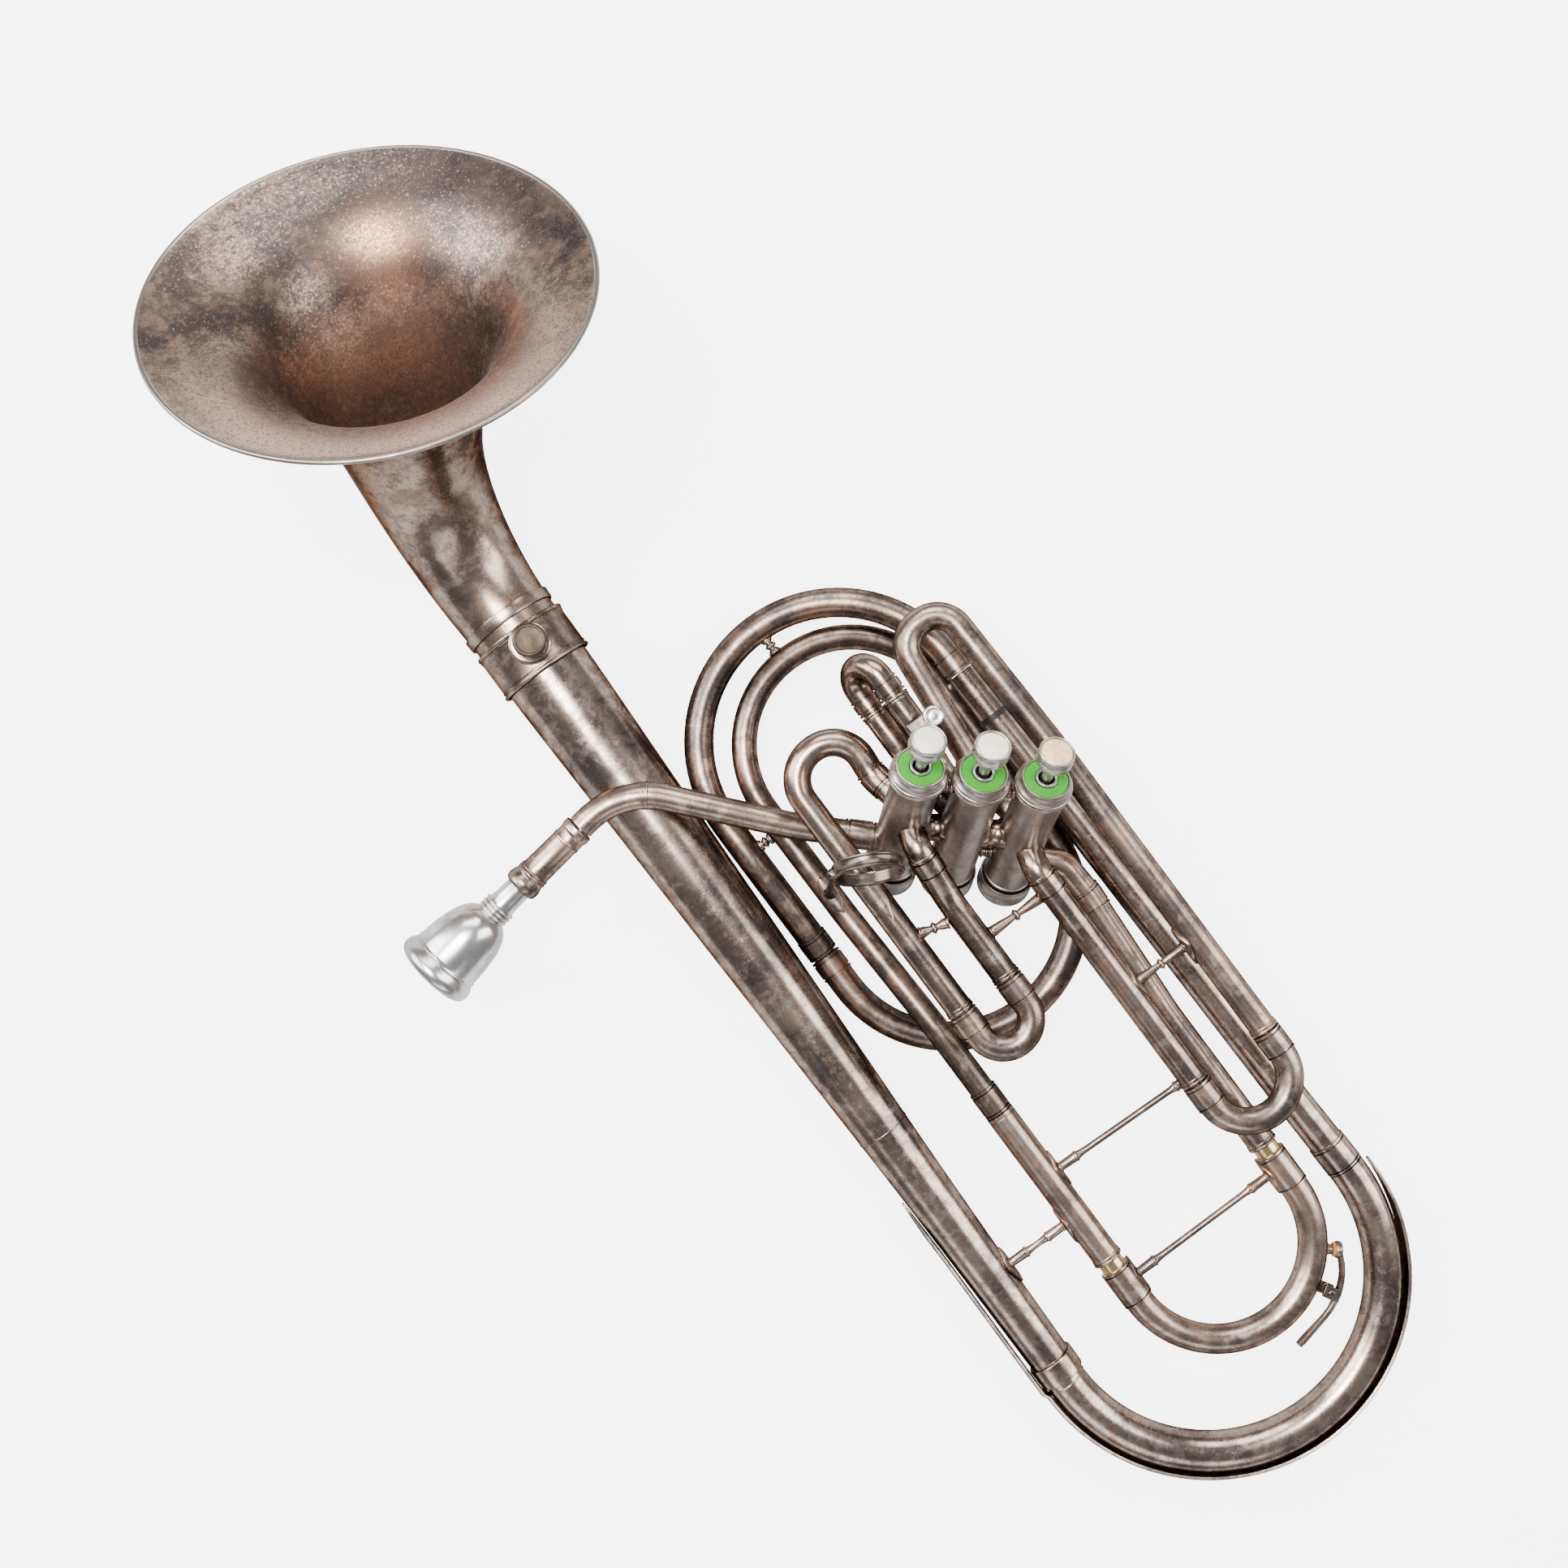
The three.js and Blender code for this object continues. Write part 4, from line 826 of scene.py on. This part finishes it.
# ---------------------------------------------------------------- bell
def bell_route(steps=26):
    start = on_stem(BELL["y"])
    lean, turn = math.radians(BELL["lean"]), math.radians(BELL["turn"])
    rise = vec(math.sin(lean), 0, math.cos(lean))
    points = [start, start + BELL["tenon"] * AHEAD]
    bend_from = start + BELL["lead"] * AHEAD
    for k in range(steps + 1):
        angle = turn * k / steps
        points.append(bend_from + BELL["bend"] * (math.sin(angle) * AHEAD + (1 - math.cos(angle)) * rise))
    out = math.cos(turn) * AHEAD + math.sin(turn) * rise
    last = points[-1]
    for share in 1 - (1 - np.linspace(0, 1, 34)[1:]) ** 1.9:
        points.append(last + BELL["run"] * share * out)
    return np.array(points)


BELL_SIDES = 120
BELL_WALL = 0.9
FLARE = 0.55                    # the power with which the bell widens towards its mouth
LIP = 1.2                       # how far the rolled rim's middle lies inside the mouth's edge


def bell():
    """The flare widens ever faster towards a rolled rim; the throat is open down to the tenon."""
    points = bell_route()
    sums = lengths(points)
    total = sums[-1]
    flare = total - BELL["tenon"]
    offset = flare / (math.exp(math.log(BELL["rim"] / BELL["r"]) / FLARE) - 1)
    reach = total - LIP
    steps = np.diff(points, axis=0)
    steps /= np.linalg.norm(steps, axis=1)[:, None]
    ways = np.vstack([steps[:1], (steps[:-1] + steps[1:]) / 2, steps[-1:]])
    centres, tangents, radii, slots = [], [], [], []

    def section(s, r, slot):
        centres.append([np.interp(s, sums, points[:, k]) for k in range(3)])
        tangents.append([np.interp(s, sums, ways[:, k]) for k in range(3)])
        radii.append(r)
        slots.append(slot)

    def skin(s):
        left = total - s
        return BELL["r"] if s < BELL["tenon"] else BELL["r"] * ((left + offset) / (flare + offset)) ** -FLARE

    wide = np.linspace(0.5, 1, 40)[:-1] * skin(total)
    near = [total - (r / BELL["r"]) ** (-1 / FLARE) * (flare + offset) + offset for r in wide]
    outside = [s for s in sums if s < near[0]] + [s for s in near if s <= reach]
    tenon = BELL["tenon"]
    band = [(tenon + s, 1.3 * h) for s, h in ((0, 0), (0.02, 0.5), (0.3, 0.9), (0.9, 1), (5, 1), (5.7, 0.9),
                                            (5.98, 0.5), (6.0, 0))]
    places = [(s, 0) for s in outside if not tenon - 0.01 < s < tenon + 6.1] + band
    for s, extra in sorted(places, key=lambda item: item[0]):
        section(s, skin(s) + extra, 0)
    bead_r = 1.25
    rim = skin(total) - LIP
    for t in np.linspace(-0.6 * math.pi, 0.8 * math.pi, 15):
        section(reach + bead_r * math.sin(t) * 0.9, rim + bead_r * math.cos(t), 2)
    slots[-1] = 1
    for s in reversed(outside):
        if skin(s) < rim - 1.6:
            section(s, skin(s) - BELL_WALL, 1)
    verts, faces, index = sweep(centres, tangents, radii, slots, BELL_SIDES)
    return verts, faces + faces_of_row(len(radii) - 1, 0, BELL_SIDES), index + [0] * BELL_SIDES


# The four patches inside the bell are painted light and shade.
BELL_IN = aged_plate("bell_inside", 2.0, 0.6, 0.9, 0.30, 0.9, 1.0, 1.7, [
    (vec(35, 335, 93), 35, 120, 0.8, (0.05, 0.045, 0.047)),      # painted shade: a dark patch on the far side of the mouth, against the lights' strong reflection there
    (vec(-45, 206, 186), 50, 115, 0.75, (0.92, 0.68, 0.56)),      # painted reflection: a pale patch on the near side of the lip, standing in for the floor's reflected light
    (vec(-1, 302, 93), 5, 28, 0.85, (0.30, 0.15, 0.085)),         # coppery patch painted where the highlight falls above the throat, tinting and dimming the highlight
    (bell_route()[24], 25, 80, 0.9, (0.60, 0.44, 0.34))])        # painted light: a pale brown patch deep in the throat, where little light reaches
piece("bell_flare", [bell()], [BELL_OUT, BELL_IN, RIM], "bell", "bell_section")


# ---------------------------------------------------------------- bell collar and its screw
def collar_screw_axes():
    way = unit(vec(0.12, 0, 1) - STEM_WAY[2] * STEM_WAY)
    return on_stem(COLLAR_SCREW), way


def collar():
    """A wide socket with a copper bead at its top, a rolled foot, and a round boss for the screw."""
    r, edge, length = 23.2, 24.5, 24
    profile = [(r, 0), (edge - 0.5, 0), (edge - 0.1, 0.3), (edge, 0.9), (edge - 0.1, 1.5), (edge - 0.6, 1.8),
               (r + 0.45, 2.1), (r + 0.45, 2.8), (r + 0.85, 3.0), (r + 0.85, 3.5), (r + 0.45, 3.7),
               (r + 0.5, length - 3.2), (r + 0.9, length - 3.0), (r + 0.9, length - 2.4),
               (r + 0.5, length - 2.2), (edge - 0.5, length - 1.9, 1), (edge - 0.05, length - 1.5, 1),
               (edge, length - 0.9, 1), (edge - 0.1, length - 0.4, 1), (edge - 0.5, length, 1), (r, length)]
    seat, way = collar_screw_axes()
    ring = turned(profile, on_stem(COLLAR_FOOT), basis(STEM_WAY), 96, soft=0.1)
    boss = turned([(2.5, 21.8), (10.2, 21.8), (10.3, 23.6), (10.0, 24.3), (9.0, 24.6), (6.4, 25.0),
                   (6.2, 26.2), (6.3, 27.2), (5.9, 27.8), (5.2, 28), (2.5, 28)], seat, basis(way), 40,
                  soft=0.2)
    return [ring, recoloured(boss)]


def thumbscrew(seat, way, reach, head, shaft):
    """A disc-headed screw with a milled edge and a turned boss on its face."""
    neck = reach + 3
    top = neck + 5
    profile = [(0, 0), (shaft, 0), (shaft, reach), (3.2, reach), (3.4, reach + 0.8), (2.8, reach + 1.6),
               (3.0, neck - 0.4), (head - 0.9, neck), (head, neck + 0.5), (head, top - 0.9),
               (head - 0.3, top - 0.3), (head - 0.9, top), (head - 1.5, top - 0.05), (head - 1.8, top - 0.35),
               (head * 0.35, top - 0.3), (head * 0.2, top - 0.2), (0, top - 0.2)]
    return turned(profile, seat, basis(way), 120, knurl=(neck + 0.3, top - 0.7, head - 0.3, 0.18), soft=0.12)


piece("collar", collar(), [PLATE, COPPERY], "bell_collar")
seat, way = collar_screw_axes()
piece("bell_screw_head", [thumbscrew(seat + 22.8 * way, way, 5.6, 8, 2.1)], [SCREW], "bell_thumbscrew",
      "bell_screw", "bright_silver")


# ---------------------------------------------------------------- leadpipe and mouthpiece
lead_route = route([(on_valve(1, PORT["lead"]), 0), (vec(-8, -19, 43.5), 60), (vec(-63, 45, 51.5), 40),
                    (MOUTH_END - MOUTH_WAY, 0)])
lead_way = unit(lead_route[1] - lead_route[0])
lead = tube(lead_route, 6.5, [sleeve(11, 26), bead(-36, -34.6, 0.4), bead(-33.8, -32.8, 0.3)], sides=32,
            recess=0)
piece("lead_pipe", [meet(lead, 1, lead_way)], [PLATE], "leadpipe")
MOUTH_AXES = basis(MOUTH_WAY)
receiver = [(5.4, 0), (7.2, 0), (7.6, 0.4), (7.6, 3.4), (7.2, 4.0), (7.0, 4.6), (7.1, 8), (7.4, 8.3),
            (7.4, 9.3), (7.1, 9.6), (7.2, 20), (7.3, 29.2), (7.7, 29.4), (7.9, 29.9), (7.7, 30.5),
            (7.5, 30.8), (7.9, 31.2), (8.0, 31.8), (7.7, 32.4), (7.6, 33), (8.1, 34.2), (8.55, 35.6),
            (8.75, 37), (8.6, 38.5), (8.2, 39.6), (7.6, 40), (6.9, 40), (6.9, 12), (5.4, 9)]
piece("receiver", [turned(receiver, MOUTH_END, MOUTH_AXES, 48, soft=0.15)], [PLATE], "mouthpiece_receiver",
      slot="satin_silver")
outside = spline([(6.1, 14), (6.4, 40), (6.7, 51)], 3)
for place in (52, 54.2, 56.4):
    outside += spline([(6.9, place), (7.9, place + 0.5), (8.1, place + 1.0), (7.8, place + 1.6),
                       (7.1, place + 2.0)], 3)
outside += spline([(7.2, 58.6), (8.6, 59.6), (11.4, 62.2), (13.8, 66.4), (15.4, 71.6), (16.5, 78), (17.1, 84),
                   (17.3, 87.4)], 4)
outside += [(17.2, 87.7), (17.5, 88), (17.8, 88.6), (17.5, 89.2), (17.2, 89.4), (17.5, 89.7)]
outside += spline([(17.8, 90.2), (18.7, 91.6), (19.5, 93.2), (19.8, 95), (19.5, 96.8), (18.4, 98.2),
                   (16.8, 98.7), (15.4, 98.2), (14.2, 96.9), (13.4, 95.4)], 4)
outside += spline([(13.1, 94.5), (12.6, 90), (11.6, 84), (9.6, 78), (6.6, 72.5), (4.2, 68.5), (3.3, 65.5)], 4)
mouth = [(3.0, 14)] + outside + [(3.2, 60)]
piece("cup_mouthpiece", [turned(mouth, MOUTH_END, MOUTH_AXES, 72, soft=0)], [BRIGHT], "mouthpiece",
      "mouthpiece_body", "bright_silver")


# ---------------------------------------------------------------- slides
LEG_END = [bead(-1.5, 0, 0.55), bead(-3.0, -1.6, 0.35)]      # the thin rolled rings at an outer leg's mouth
LEG_GAP = 0.6                                               # play of a bare leg in its outer leg


def slide_leg(name, replaced, spec, valve, port, way, lead, turns, joint, material=COPPERY, sides=30):
    """An outer leg: straight out of a valve's port, round its (x, y, bend) turns, and on to its open end."""
    start, z = on_valve(valve, port), spec["z"]
    ahead, bend = lead
    corners = [(vec(x, y, z), r) for x, y, r in [*turns, (turns[-1][0], spec["end"], 0)]]
    points = route([(start, 0), (start + ahead * way, bend), *corners])
    shape = hollow(points, spec["r"], spec["leg"] + LEG_GAP, [sleeve(*joint), *LEG_END], sides=sides)
    piece(name, [meet(shape, valve, way)], [material], replaced)


def crook(a, b, way, spec, leg, fine=4):
    """Two bare legs from the mouths a and b, a long sleeve on each, and the bow that joins them."""
    bend = np.linalg.norm(b - a) / 2
    back, turn = -leg * way, (spec["drop"] + bend) * way
    points = route([(a + back, 0), (a + turn, bend - 0.01), (b + turn, bend - 0.01), (b + back, 0)], fine)
    total, r, thin = lengths(points)[-1], spec["r"], spec["leg"]
    radii = [(0, thin), (leg - 0.2, thin), (leg, r), (total - leg, r), (total - leg + 0.2, thin)]
    end = leg + spec["sleeve"]
    rings = [sleeve(leg + 0.05, end), sleeve(total - end, total - leg - 0.05)]
    return hollow(points, radii, thin - 0.8, rings, [(0, leg, 1), (-leg, 0, 1)], 30, 1)


def lower_crook(spec, leg):
    a, b = (vec(spec[side], spec["crook"], spec["z"]) for side in ("left", "right"))
    return crook(a, b, -AHEAD, spec, leg)


left_ends = [vec(TUNING["left"], y, TUNING["z"]) for y in (-190.4, TUNING["end"])]
left_leg = np.linspace(*left_ends, 24)
piece("tuning_leg_left", [hollow(left_leg, TUNING["r"], TUNING["leg"] + LEG_GAP, [line(2), *LEG_END],
                                 sides=32)], [PLATE], "tuning_outer_leg_left")
slide_leg("tuning_leg_right", "tuning_outer_leg_right", TUNING, 3, PORT["out"], ROW, (24, 10),
          [(TUNING["right"] + 4, -130, 40), (TUNING["right"], -200, 60)], (40, 52), PLATE, 32)

CROOK_CENTRE = vec((TUNING["left"] + TUNING["right"]) / 2, TUNING["crook"] - TUNING["drop"], TUNING["z"])
CROOK_R = (TUNING["right"] - TUNING["left"]) / 2


def at_crook(degrees, reach):
    angle = math.radians(degrees)
    return CROOK_CENTRE + reach * vec(math.cos(angle), math.sin(angle), 0)


nipple_way = unit(at_crook(KEY["nipple"], 10) - CROOK_CENTRE)
nipple = turned([(1.0, 0), (2.7, 0), (2.7, 3.1), (2.4, 3.5), (2.4, 4.2), (2.1, 4.5), (1.0, 4.5)],
                at_crook(KEY["nipple"], CROOK_R + TUNING["r"] - 2.5), basis(nipple_way), 24, soft=0.15)
piece("tuning_crook", [lower_crook(TUNING, 64), nipple], [PLATE, LEG], "main_tuning_slide", "tuning_slide")

slide_leg("first_leg_right", "first_slide_outer_right", FIRST, 1, PORT["first"][0], FRONT_LEFT, (19, 10),
          [(FIRST["right"], -90, 40)], (22, 33))
slide_leg("first_leg_left", "first_slide_outer_left", FIRST, 1, PORT["first"][1], BACK, (24, 20),
          [(FIRST_TOP_RIGHT, FIRST_TOP_Y, 16), (FIRST_TOP_LEFT, FIRST_TOP_Y, 17.2), (FIRST["left"], -50, 60)],
          (14, 26))
piece("first_crook", [lower_crook(FIRST, 34)], [PLATE, LEG], "first_slide", "first_slide_body")

for side, port in (("upper", PORT["second"][1]), ("lower", PORT["second"][0])):
    slide_leg(f"second_leg_{side}", f"second_slide_outer_{side}", dict(SECOND, z=SECOND[f"{side}_z"]), 2,
              port, BACK, (20, 20), [(SECOND[f"{side}_x"], -22, 40)], (9, 18))
mouths = [vec(SECOND[f"{side}_x"], SECOND["crook"], SECOND[f"{side}_z"]) for side in ("upper", "lower")]
piece("second_crook", [crook(*mouths, AHEAD, SECOND, SECOND["reach"], 6)], [COPPERY, LEG], "second_slide",
      "second_slide_body")

slide_leg("third_leg_left", "third_slide_outer_left", THIRD, 3, PORT["third"][0], FRONT_LEFT, (19, 10),
          [(THIRD["left"], -140, 60)], (22, 33))
third_top = (THIRD_TOP_RIGHT - THIRD_TOP_LEFT) / 2 - 0.3
slide_leg("third_leg_right", "third_slide_outer_right", THIRD, 3, PORT["third"][1], BACK, (26, 20),
          [(THIRD_TOP_LEFT, THIRD_TOP_Y, third_top), (THIRD_TOP_RIGHT, THIRD_TOP_Y, third_top),
           (THIRD["right"], -60, 60)], (31, 44), PLATE)
piece("third_crook", [lower_crook(THIRD, 58)], [PLATE, LEG], "third_slide", "third_slide_body")


# ---------------------------------------------------------------- water key
KEY_PIVOT = at_crook(KEY["pivot"], KEY["reach"])


def key_lever():
    """A curved flat lever, wide at the barrel and at its thumb end."""
    cup_top = at_crook(KEY["nipple"], CROOK_R + TUNING["r"] + 5.6)
    shoulder = at_crook(KEY["nipple"] * 0.45 + KEY["pivot"] * 0.55, KEY["reach"] + 5.2)
    bulge = at_crook(KEY["pivot"] * 0.75 + KEY["thumb"] * 0.25, KEY["reach"] + 5.0)
    thumb = at_crook(KEY["thumb"], KEY["reach"] + 4.4)
    arm = route([(cup_top, 0), (shoulder, 30), (bulge, 30), (thumb, 0)], 8)
    sums = lengths(arm)
    widths = np.interp(sums / sums[-1], (0, 0.1, 0.3, 0.42, 0.55, 0.7, 0.78, 0.97, 1),
                       (1.8, 2.4, 2.1, 3.0, 1.9, 1.8, 2.9, 3.1, 2.3))
    section = [(-1.2, -0.75), (-0.7, -1), (0.7, -1), (1.2, -0.75), (1.2, 0.75), (0.7, 1), (-0.7, 1),
               (-1.2, 0.75)]
    verts = []
    for place, way, wide in zip(arm, np.gradient(arm, axis=0), widths):
        out = unit(np.cross(way, UP))
        verts += [place + across * out + up * wide * UP for across, up in section]
    return loft(verts, 8)


def water_key():
    """The lever, its barrel and tab, and a cork in a cup over the nipple."""
    seat_place = at_crook(KEY["nipple"], CROOK_R + TUNING["r"] + 2.3)
    half = [(1.5, 3.4), (3.0, 3.4), (3.25, 3.1), (3.25, 2.3), (2.8, 2.0)]
    barrel = turned([(r, -h) for r, h in half] + half[::-1], KEY_PIVOT, np.eye(3), 32, soft=0.1)
    spoke = unit(KEY_PIVOT - CROOK_CENTRE)
    axes = np.column_stack([spoke, np.cross(UP, spoke), UP])
    tab = block(KEY_PIVOT + 3.4 * spoke, (4.2, 2.6, 4.4), axes)
    cup = turned([(0, 1.6), (2.6, 1.6), (3.7, 1.2), (4.1, 0.4), (4.2, -1.0), (3.95, -1.6), (3.75, -1.6),
                  (3.6, -0.9), (0, -0.9)], seat_place + nipple_way * 3.2, basis(nipple_way), 32, soft=0.1)
    cork = turned([(0, 0), (3.2, 0), (3.5, 0.3), (3.5, 2.8), (0, 2.8)], seat_place, basis(nipple_way), 28,
                  soft=0.15)
    return [key_lever(), barrel, tab, cup, recoloured(cork)]


piece("drain_key", water_key(), [PLATE, CORK], "water_key", "key_lever")


def saddle():
    turn = math.radians(KEY["pivot"])
    c, s = math.cos(turn), math.sin(turn)
    axes = np.column_stack([vec(c, s, 0), vec(-s, c, 0), UP])
    place = at_crook(KEY["pivot"], KEY["reach"] - 0.4)
    ears = [block(place + side * 4.2 * UP, (6.4, 6, 1.4), axes) for side in (1, -1)]
    pin = turned([(0, -5.8), (0.8, -5.8), (1, -5.5), (1, 5.0), (1.7, 5.1), (1.7, 5.7), (1.3, 6.0), (0, 6.0)],
                 KEY_PIVOT, np.eye(3), 20, soft=0.1)
    return [*ears, pin]


piece("key_saddle", saddle(), [PLATE], "water_key_saddle", "tuning_slide")


# ---------------------------------------------------------------- hand ring, lyre socket and stays
def hand_ring():
    """A hollowed band with a rolled bead on each edge, on a turned post and a diamond foot."""
    r, width, wall = RING["r"], RING["width"], RING["wall"]
    half = width / 2
    side = [(r - wall + 0.1, half - 0.9), (r - wall - 0.1, half - 0.4), (r - wall + 0.3, half + 0.1),
            (r - 0.4, half + 0.2), (r + 0.1, half - 0.3), (r, half - 0.9), (r - 0.5, half - 1.5)]
    profile = [(a, -b) for a, b in side] + [(r - 0.8, 0)] + side[::-1] + [(r - wall, 0)]
    band = turned(profile, RING["centre"], basis(RING["way"]), 96, soft=0.05)
    top = RING["centre"] + (r - 0.4) * RING["side"]
    foot = RING["foot"]
    way = unit(top - foot)
    rise = np.linalg.norm(top - foot)
    post = [(0, -3.4), (2.6, -3.2), (3.2, -1.4), (3.2, 0.6), (2.2, 2.4), (1.7, 4), (1.6, rise * 0.5),
            (1.6, rise - 4), (2.2, rise - 2.6), (2.9, rise - 0.6), (2.6, rise + 1.2), (1.4, rise + 2.2),
            (0, rise + 2.4)]
    return [band, turned(post, foot, basis(way), 28, soft=0.2)]


ring_plates = [foot_plate(vec(3, -64, 58.5), AHEAD, UP, FIRST["r"], 34, 12, slot=1),
               foot_plate(vec(-13.9, -57, 19.6), AHEAD, UP, INNER["r"], 22, 10, slot=1)]
piece("finger_ring", hand_ring() + ring_plates, [RING_PLATE, PLATE], "hand_ring", slot="satin_silver")

socket = block(LYRE, (15, 7, 6.4), np.eye(3))
# painted shade: a near-black square block through the socket, standing in for the shade inside its hole
hole_shade_block = turned([(0, -4.3), (2.5, -4.3), (2.5, 4.3), (0, 4.3)], LYRE + vec(-3.2, 0, 0), basis(AHEAD), 4, soft=0)
collar_ring = turned([(1.9, 3.3), (3.4, 3.3), (3.4, 4.1), (3.0, 4.5), (1.9, 4.5)], LYRE + vec(4.6, 0, 0),
                     np.eye(3), 32, soft=0.1)
piece("lyre_block", [socket, recoloured(hole_shade_block), collar_ring], [PLATE, SOLDER_AND_HOLE_SHADE], "lyre_socket",
      slot="satin_silver")
piece("lyre_disc", [thumbscrew(LYRE + vec(4.6, 0, 0.6), UP, 3.3, 4.8, 1.4)], [BRIGHT], "lyre_screw",
      "lyre_screw_body", "bright_silver")

left_x, right_x, crook_y = TUNING["left"], TUNING["right"], TUNING["crook"] - 9
STAYS = {       # ends, tube radii there, radius of the tubes under its feet, replaced node, body
    "slide_stay": (vec(left_x, crook_y, 26), vec(right_x, crook_y, 26), 7.6, 7.6, 7.5, "tuning_slide_brace",
                   "tuning_slide"),
    "stem_stay": (vec(STEM_FOOT[0] + 0.5, -255, 15), vec(left_x, -254, 23), 12.3, TUNING["r"] + 0.4, 12,
                  "stem_brace"),
    "legs_stay": (vec(left_x, -229, 26), vec(right_x, -232, 26), TUNING["r"] + 0.3, TUNING["r"] + 0.3,
                  TUNING["r"], "tuning_leg_brace"),
    "third_stay": (vec(THIRD["left"], -174, THIRD["z"]), vec(THIRD["right"] - 0.4, -174, THIRD["z"]),
                   THIRD["r"] + 0.3, THIRD["r"] + 0.3, THIRD["r"], "third_slide_brace"),
    "first_third_stay": (vec(29.6, -113.5, 58.5), vec(71.5, -115.3, 53), FIRST["r"], THIRD["r"]),
    "knuckle_stay_1_2": (on_valve(1, 83), on_valve(2, 83), 12.2, 12.2),
    "knuckle_stay_2_3": (on_valve(2, 83), on_valve(3, 83), 12.2, 12.2),
    "low_stay_2_3": (on_valve(2, 30), on_valve(3, 30), 12.2, 12.2),
    "first_legs_stay": (vec(3, -92.5, 58.5), vec(29, -99.5, 58.5), FIRST["r"], FIRST["r"]),
    "loops_stay": (vec(35.2, 69, 17.5), vec(35.2, 48.5, 16), OUTER["r"], INNER["r"]),
    "left_loops_stay": (vec(-34.5, -17.4, 17.5), vec(-15, -17.4, 18.5), OUTER["r"], INNER["r"]),
    "right_loops_stay": (vec(101.5, -11.1, 21.3), vec(91.5, -11.1, 9), OUTER["r"], INNER["r"]),
}
for name, (a, b, ra, rb, *footed) in STAYS.items():
    way, thick = unit(b - a), 2.3 if footed else 2.5
    shapes = [baluster(a + way * (ra - 0.4), b - way * (rb - 0.4), thick)]
    if name == "stem_stay":
        shapes += [stay_foot(a, STEM_WAY, way, footed[0]), stay_foot(b + 3 * UP, AHEAD, -way, TUNING["r"])]
    elif footed:
        shapes += [stay_foot(a, AHEAD, way, footed[0]), stay_foot(b, AHEAD, -way, footed[0])]
    piece(name, shapes, [PLATE], *footed[1:], slot="satin_silver")
run = np.linspace(vec(101.8, -36, 20.8), vec(101.8, -33, 20.8), 4)
piece("right_flange", [tube(run, 7.7, recess=0, sides=30)], [SOLDER_AND_HOLE_SHADE])


# ---------------------------------------------------------------- camera, light and floor
CAMERA_HEIGHT = 924.5           # millimetres over the floor
CAMERA_TURN = math.radians(-36.7)
camera_data = bpy.data.cameras.new("camera")
camera_data.lens = 42.48
camera_data.sensor_width = 36
camera = bpy.data.objects.new("camera", camera_data)
camera.location = ((vec(0, 0, CAMERA_HEIGHT) + SHIFT) * MM).tolist()
camera.rotation_euler = (0, 0, CAMERA_TURN)
bpy.context.scene.collection.objects.link(camera)
bpy.context.scene.camera = camera
TURN = Matrix.Rotation(CAMERA_TURN, 3, "Z")
LIT_PLACE = (0, 0, 0.05)


def from_camera(place):
    """A place from metres in the camera's own left-right and up-down directions."""
    return TURN @ Vector(place) + Vector((*camera.location[:2], 0))


def soft_light(name, where, size, power):
    """An area light that faces the middle of the instrument."""
    light = bpy.data.lights.new(name, "AREA")
    light.shape = "RECTANGLE"
    light.size, light.size_y = size
    light.energy = power
    obj = bpy.data.objects.new(name, light)
    obj.location = from_camera(where)
    obj.rotation_euler = (from_camera(LIT_PLACE) - obj.location).to_track_quat("-Z", "Y").to_euler()
    bpy.context.scene.collection.objects.link(obj)


soft_light("overhead", (-0.3, 0.15, 1.5), (0.6, 0.6), 38)
soft_light("key_left", (-1.6, 0.6, 1.2), (1.1, 1.6), 62)
soft_light("fill_right", (1.6, 0.2, 1.1), (0.8, 1.6), 26)
soft_light("top", (0.1, 1.6, 1.3), (1.6, 0.9), 32)
soft_light("front", (0.0, -1.6, 1.0), (1.6, 0.6), 8)

world = bpy.data.worlds.new("studio")
world.use_nodes = True
world.node_tree.nodes["Background"].inputs[0].default_value = (0.93, 0.95, 1.0, 1)
world.node_tree.nodes["Background"].inputs[1].default_value = 0.3
bpy.context.scene.world = world

FLOOR_GLOW = 5.0
floor_mesh = bpy.data.meshes.new("floor")
floor_mesh.from_pydata([(-6, -6, 0), (6, -6, 0), (6, 6, 0), (-6, 6, 0)], [], [(0, 1, 2, 3)])
floor = bpy.data.objects.new("floor", floor_mesh)
paper = Paint("floor_paper")
tone = paper.noise(40, 3, 0.5).ramp((0.3, 0.50), (0.7, 0.52))
glow = paper.maths("MULTIPLY", paper.field("Is Camera Ray", "ShaderNodeLightPath"), FLOOR_GLOW, False)
floor_mesh.materials.append(paper.finish(Base_Color=tone, Roughness=0.9, Specular_IOR_Level=0.1,
                                         Emission_Color=(1, 1, 1), Emission_Strength=glow))
bpy.context.scene.collection.objects.link(floor)
